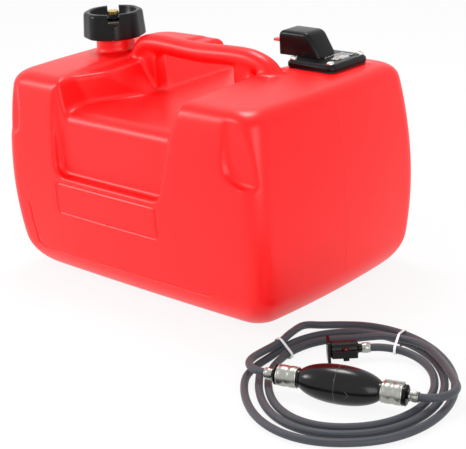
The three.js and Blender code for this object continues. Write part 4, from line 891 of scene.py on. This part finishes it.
def handle_pieces():
    turns = [(-104, 238), (-98.5, 253), (-88, 264), (0, 264), (84, 264), (107.5, 253), (113, 238)]
    line = rounded_route([Vector((x, 0, z)) for x, z in turns], 4)
    yield sweep("handle_bar", line, 11.8, 28, facing_axes)
    web_foot, web_top = 207, 258
    for foot, lip, side in ((-66, -88, -1), (58, 82, 1)):
        outline = [(foot, web_foot)]
        outline += quarter_turn((foot, 244), (foot, web_top), (foot + side * 9, web_top))
        outline += [(lip + side * 4, web_top), (lip + side * 4, web_foot)]
        yield slab("handle_web", outline, -10.5, 10.5)


# the long groove round the foot of the front and the back, and the frame below the recess
FOOT_GROOVE = [(-166, 92), (-161, 40), (-154, 34), (120, 36), (132, 40)]
FRAME_LEFT, FRAME_RIGHT, FRAME_LOW, FRAME_HIGH, FRAME_CORNER = -110, 55, 90, 127, 5
GROOVE_RADIUS, GROOVE_LIFT, GROOVE_STEP = 1.9, 0.7, 6


def on_face(x, z, side):
    """The place on the tank's front (side -1) or back (side 1) at x and z, a little proud of it."""
    half_x = TANK_LENGTH / 2 - drawn_in(z)
    bulge = FACE_BULGE * max(1 - (x / half_x) ** 2, 0)
    return Vector((x, side * (TANK_WIDTH / 2 - drawn_in(z) + bulge + GROOVE_LIFT), z))


def groove(name, outline, side):
    """A shallow groove along an outline on the tank's front or back."""
    line = []
    for (x, z), (next_x, next_z) in zip(outline, outline[1:]):
        steps = max(1, round(math.hypot(next_x - x, next_z - z) / GROOVE_STEP))
        for i in range(steps):
            line.append(on_face(x + (next_x - x) * i / steps, z + (next_z - z) * i / steps, side))
    line.append(on_face(*outline[-1], side))
    return sweep(name, line, GROOVE_RADIUS, 10, facing_axes)


def face_grooves():
    left, right, low, high, corner = FRAME_LEFT, FRAME_RIGHT, FRAME_LOW, FRAME_HIGH, FRAME_CORNER
    middle = (left + right) / 2
    frame_line = [(middle, low)]
    frame_line += quarter_turn((right - corner, low), (right, low), (right, low + corner), 4)
    frame_line += quarter_turn((right, high - corner), (right, high), (right - corner, high), 4)
    frame_line += quarter_turn((left + corner, high), (left, high), (left, high - corner), 4)
    frame_line += quarter_turn((left, low + corner), (left, low), (left + corner, low), 4)
    frame_line.append((middle - 0.5, low))
    for side in (-1, 1):
        yield groove("foot_groove", FOOT_GROOVE, side)
        yield groove("frame_groove", frame_line, side)


def seat_block(name, low, high):
    """The outlet's raised seat, or the room above it."""
    return block(name, (OUTLET_X - SEAT_HALF, OUTLET_Y - SEAT_HALF, low),
                 (OUTLET_X + SEAT_HALF, OUTLET_Y + SEAT_HALF, high), corner=9)


def tank_body():
    body = tank_block()
    for cutter in panel_cutters():
        carve(body, cutter)
    carve(body, seat_block("seat_room", SEAT_TOP, SEAT_TOP + FAR))
    neck = turn("neck", [(0, ROOT), (23.6, ROOT), (23.6, 268), (0, 268)], 64)
    moved(neck, neck_frame)
    seat = seat_block("seat", ROOT, SEAT_TOP)
    joined(body, neck, seat, *handle_pieces())
    modify(body, "REMESH", mode="VOXEL", voxel_size=VOXEL, adaptivity=0.0)
    modify(body, "SMOOTH", factor=0.5, iterations=SMOOTHING_ROUNDS)
    bore = turn("bore", [(0, 226), (NECK_BORE, 226), (NECK_BORE, 290), (0, 290)], 64)
    moved(bore, neck_frame)
    carve(body, bore)
    for cutter in face_grooves():
        carve(body, cutter)
    finished(body, "tank", "red_polyethylene", "tank_shell", angle=60)


def neck_finish():
    """The neck's mouth with its thread, two turns of it."""
    finish = turn("neck_finish", [
        (NECK_BORE, 262), (22.8, 262), (22.8, 280.2), (22.2, 281), (19.2, 281), (NECK_BORE, 280.3),
        (NECK_BORE, 262),
    ], 72)
    turn_steps, radius, pitch = 48, 22.6, 5
    helix = []
    for step in range(2 * turn_steps + 1):
        angle = 2 * math.pi * step / turn_steps
        height = 267 + pitch * step / turn_steps
        helix.append(Vector((radius * math.cos(angle), radius * math.sin(angle), height)))
    joined(finish, sweep("neck_thread", helix, 2.2, 10, wound_axes))
    moved(finish, neck_frame)
    finished(finish, "tank", "red_polyethylene", "tank_shell")


# cap
CAP_TURN = math.radians(-43)
CAP_LOBES, CAP_LOBE_DEPTH = 8, 1.5


def filler_cap():
    """A lobed drum whose raised rim is two crescents, with the vent's boss between them."""
    cap = turn("cap_body", [
        (0, 284.3), (25.6, 284.3), (25.6, 271.5), (28.4, 271.5), (28.4, 284.3), (32.8, 284.3),
        (32.8, 270.8), (33.6, 270), (37, 270), (38, 271), (37.9, 274), (36.2, 296.5),
        (35.6, 298.9), (34.2, 300.2), (32.6, 300.4), (29.4, 300.4), (28.2, 299.7), (27.7, 298.4),
        (27.3, 291), (26.3, 289.7), (25.2, 289.5), (0, 289.5),
    ], 96)
    for vertex in cap.data.vertices:
        x, y, z = vertex.co
        radius = math.hypot(x, y)
        if radius > 33:
            dip = CAP_LOBE_DEPTH * (1 - math.cos(CAP_LOBES * math.atan2(y, x))) / 2
            vertex.co = (x * (1 - dip / radius), y * (1 - dip / radius), z)
    carve(cap, block("cap_slot", (-42, -7, 291), (42, 7, 310), edge=1))
    carve(cap, turn("cap_boss", [(0, 288), (10, 288), (10, 292), (9.4, 292.6), (0, 292.6)], 48), "UNION")
    carve(cap, block("cap_lip", (33.4, -4.4, 287.6), (38.9, 4.4, 292.2), edge=1.1), "UNION")
    carve(cap, block("cap_groove", (34.6, -3.2, 268), (41, -1.2, 290)))
    carve(cap, rod("vent_hole", 2.9, 283, 294))
    moved(cap, neck_frame @ Matrix.Rotation(CAP_TURN, 4, "Z"))
    finished(cap, "cap", "black_plastic", "filler_cap")


# outlet
FLANGE_HALF, FLANGE_TOP = 34, 260
SCREW_X, SCREW_Y = 26, 27
HOOD_FRONT, HOOD_BACK, HOOD_FOOT = 51, 83, 260.3
HOOD_WALL = 2.5


def on_shoulder(edge):
    """Whether an edge of the hood runs along one of its two sides, above its foot."""
    first, second = (vertex.co for vertex in edge.verts)
    if abs(first.y - second.y) > 0.01:
        return False
    return min(first.z, second.z) > HOOD_FOOT - 0.1 and max(first.z, second.z) > HOOD_FOOT + 0.7


def outlet_hood():
    """A hood with rounded shoulders and a sloping end, open below and at its left."""
    side = [(75, HOOD_FOOT)]
    side += quarter_turn((75, 279), (75, 288), (84, 288), 6)
    side += quarter_turn((112, 288), (119, 288), (122.5, 282), 6)
    side += [(133.4, 264), (134, HOOD_FOOT)]
    hood = slab("hood", side, HOOD_FRONT, HOOD_BACK)
    round_edges(hood, on_shoulder, 4.6, 5, clamp_overlap=True)
    room = slab("hood_room", [
        (70, 255), (70, 285.5), (112, 285.5), (116.5, 284), (120.2, 280.7), (131.2, 262.7), (131.2, 255),
    ], HOOD_FRONT + HOOD_WALL, HOOD_BACK - HOOD_WALL)
    carve(hood, room)
    finished(hood, "tank", "black_plastic", "outlet_hood")


def outlet_flange():
    low = (OUTLET_X - FLANGE_HALF, OUTLET_Y - FLANGE_HALF, 252.4)
    high = (OUTLET_X + FLANGE_HALF, OUTLET_Y + FLANGE_HALF, FLANGE_TOP)
    flange = block("flange", low, high, corner=9, segments=8)
    round_edges(flange, lambda edge: min(v.co.z for v in edge.verts) > FLANGE_TOP - 0.1, 3.1, 1)
    soften(flange, 0.7, 2, 25)
    carve(flange, block("gauge_room", (137, 58, 254.6), (154, 90, 266), corner=2))
    carve(flange, block("lens_room", (135.5, 56.5, 258.1), (155.5, 91.5, 266), corner=2))
    carve(flange, rod("staff_hole", 1.2, 253.2, 256, 141.5, 74, 24))
    carve(flange, rod("spigot_hole", 5.8, 250, 264, 115, 67))
    for side_x in (-1, 1):
        for side_y in (-1, 1):
            x, y = OUTLET_X + side_x * SCREW_X, OUTLET_Y + side_y * SCREW_Y
            carve(flange, rod("screw_hole", 2.4, 250, 264, x, y, 24))
    finished(flange, "tank", "black_plastic", "outlet_flange")


# primer bulb
BULB_RADIUS, BULB_NECK, BULB_BORE = 19.2, 9.3, 6.3
BULB_HALF, BULB_NECK_END = 40.5, 65
BULB_SHARPNESS, BULB_REACH = 2.15, 45.2
CLAMP_GAP = 0.3
facing_left = Matrix.Rotation(-math.pi / 2, 4, "Y")


def primer_bulb():
    outline = [(BULB_BORE, -BULB_NECK_END), (BULB_NECK, -BULB_NECK_END)]
    for step in range(41):
        along = BULB_HALF * (step / 20 - 1)
        share = (abs(along) / BULB_REACH) ** BULB_SHARPNESS
        outline.append((BULB_RADIUS * (1 - share) ** (1 / BULB_SHARPNESS), along))
    outline += [(BULB_NECK, BULB_NECK_END), (BULB_BORE, BULB_NECK_END), (BULB_BORE, -BULB_NECK_END)]
    bulb = turn("bulb", outline, 96)
    moved(bulb, bulb_frame @ along_x)
    finished(bulb, "tank", "bulb_rubber", "primer_bulb")


def band(name, inner, start, end, bands):
    """A crimped band of sheet metal: a rolled edge at each end and raised bands between."""
    sheet, rise, edge = 0.7, 0.35, 0.45
    outer = inner + sheet
    outline = [(inner, start), (outer, start), (outer + rise, start + edge), (outer, start + 2 * edge)]
    room = (end - start - 4 * edge) / bands
    for number in range(bands):
        low = start + 2 * edge + number * room
        outline += [
            (outer, low + 0.16 * room), (outer + rise, low + 0.24 * room),
            (outer + rise, low + 0.76 * room), (outer, low + 0.84 * room),
        ]
    outline += [(outer, end - 2 * edge), (outer + rise, end - edge), (outer, end), (inner, end)]
    outline.append((inner, start))
    return turn(name, outline, 72)


def clamp(name, inner, start, end, bands, ear_turn, place):
    made = band(name, inner, start, end, bands)
    ear = block("ear", (inner + 0.3, -2, start + 0.8), (inner + 2.7, 2, end - 0.8), edge=0.6)
    moved(ear, Matrix.Rotation(math.radians(ear_turn), 4, "Z"))
    joined(made, ear)
    moved(made, place)
    finished(made, "tank", "steel", name)


def valve(name, place):
    made = turn(name, [
        (1.6, 50), (5, 50), (6, 51), (6, 65.3), (9.6, 65.3), (10.2, 65.7), (10.2, 66.6), (9.6, 67),
        (3.4, 67), (3.4, 68.3), (1.6, 68.3), (1.6, 50),
    ], 72)
    moved(made, place)
    finished(made, "tank", "black_plastic", name)


def bulb_fittings():
    for label, facing in (("left", facing_left), ("right", along_x)):
        place = bulb_frame @ facing
        valve("bulb_valve_" + label, place)
        clamp("wide_clamp_" + label, BULB_NECK + CLAMP_GAP, 43, 64, 2, 150, place)
        clamp("narrow_clamp_" + label, HOSE_RADIUS + CLAMP_GAP, 69.6, 78.4, 1, 210, place)
    connector_frame = coil_frame @ Matrix.Translation((0, 57, 12)) @ along_x
    clamp("connector_clamp", HOSE_RADIUS + CLAMP_GAP, 19.9, 28.7, 1, 100, connector_frame)


# the rest of the frame
# CAD nodes that get another finish than their slot's own, by how their names start
SPECIAL_FINISHES = {"gauge_dial": "gauge_print", "outlet_screw": "bright_steel"}
FLOOR_SIZE = 12
FLOOR_GLOW = 0.88
ROOM_LIGHT = 0.72


def keep_node(name):
    """A CAD node whose shape is right keeps its mesh and gets its finish."""
    slot = next(part["material_slot"] for part in frame["record"]["subparts"] if part["node"] == name)
    for start, special in SPECIAL_FINISHES.items():
        if name.startswith(start):
            slot = special
    for place in frame["nodes"][name].material_slots:
        place.material = finishes[slot]


def set_the_floor():
    """A pale floor that glows where the camera sees it, so that it goes over into the white room."""
    bpy.ops.mesh.primitive_plane_add(size=FLOOR_SIZE, location=(0, 0, 0))
    floor = added("floor")
    finish = Finish("pale_floor", Roughness=0.9, Specular_IOR_Level=0.1)
    finish.colour((0.86, 0.86, 0.86, 1))
    glow = finish.node("ShaderNodeEmission", {}, {})
    values = {0: finish.in_view() * FLOOR_GLOW, 1: Wire(finish, finish.shader), 2: glow}
    mixed = finish.node("ShaderNodeMixShader", {}, values)
    finish.feed(finish.tree.nodes["Material Output"].inputs["Surface"], mixed)
    floor.data.materials.append(finish.material)


def light_the_room():
    """A white room, dimmer as a light than as a background, and three lamps."""
    scene = bpy.context.scene
    scene.view_settings.view_transform = "Standard"
    world = bpy.data.worlds.new("studio")
    scene.world = world
    world.use_nodes = True
    room = Wiring(world.node_tree)
    background = world.node_tree.nodes["Background"]
    values = {"Value": room.in_view(), "To Min": ROOM_LIGHT, "To Max": 1.0}
    room.feed(background.inputs["Color"], (1, 1, 1, 1))
    room.feed(background.inputs["Strength"], room.node("ShaderNodeMapRange", {}, values))
    lamps = (
        ("overhead", (-0.3, 0.25, 1.6), (0, 0, 0.1), 0.45, 13),
        ("front_left", (-1.3, -1.3, 0.9), (0, 0, 0.1), 0.5, 13),
        ("right", (1.7, -0.9, 0.5), (0.1, 0, 0.1), 1.0, 11),
    )
    for name, place, target, size, power in lamps:
        lamp = bpy.data.lights.new(name, "AREA")
        lamp.size = size
        lamp.energy = power
        obj = bpy.data.objects.new(name, lamp)
        obj.location = place
        way = Vector(target) - Vector(place)
        obj.rotation_euler = way.to_track_quat("-Z", "Y").to_euler()
        scene.collection.objects.link(obj)


hose("hose_left_tube", left_route())
hose("hose_right_tube", right_route())
tank_body()
neck_finish()
filler_cap()
outlet_hood()
outlet_flange()
primer_bulb()
bulb_fittings()
for node_name in frame["nodes"]:
    if node_name not in replaced:
        keep_node(node_name)
set_the_floor()
light_the_room()
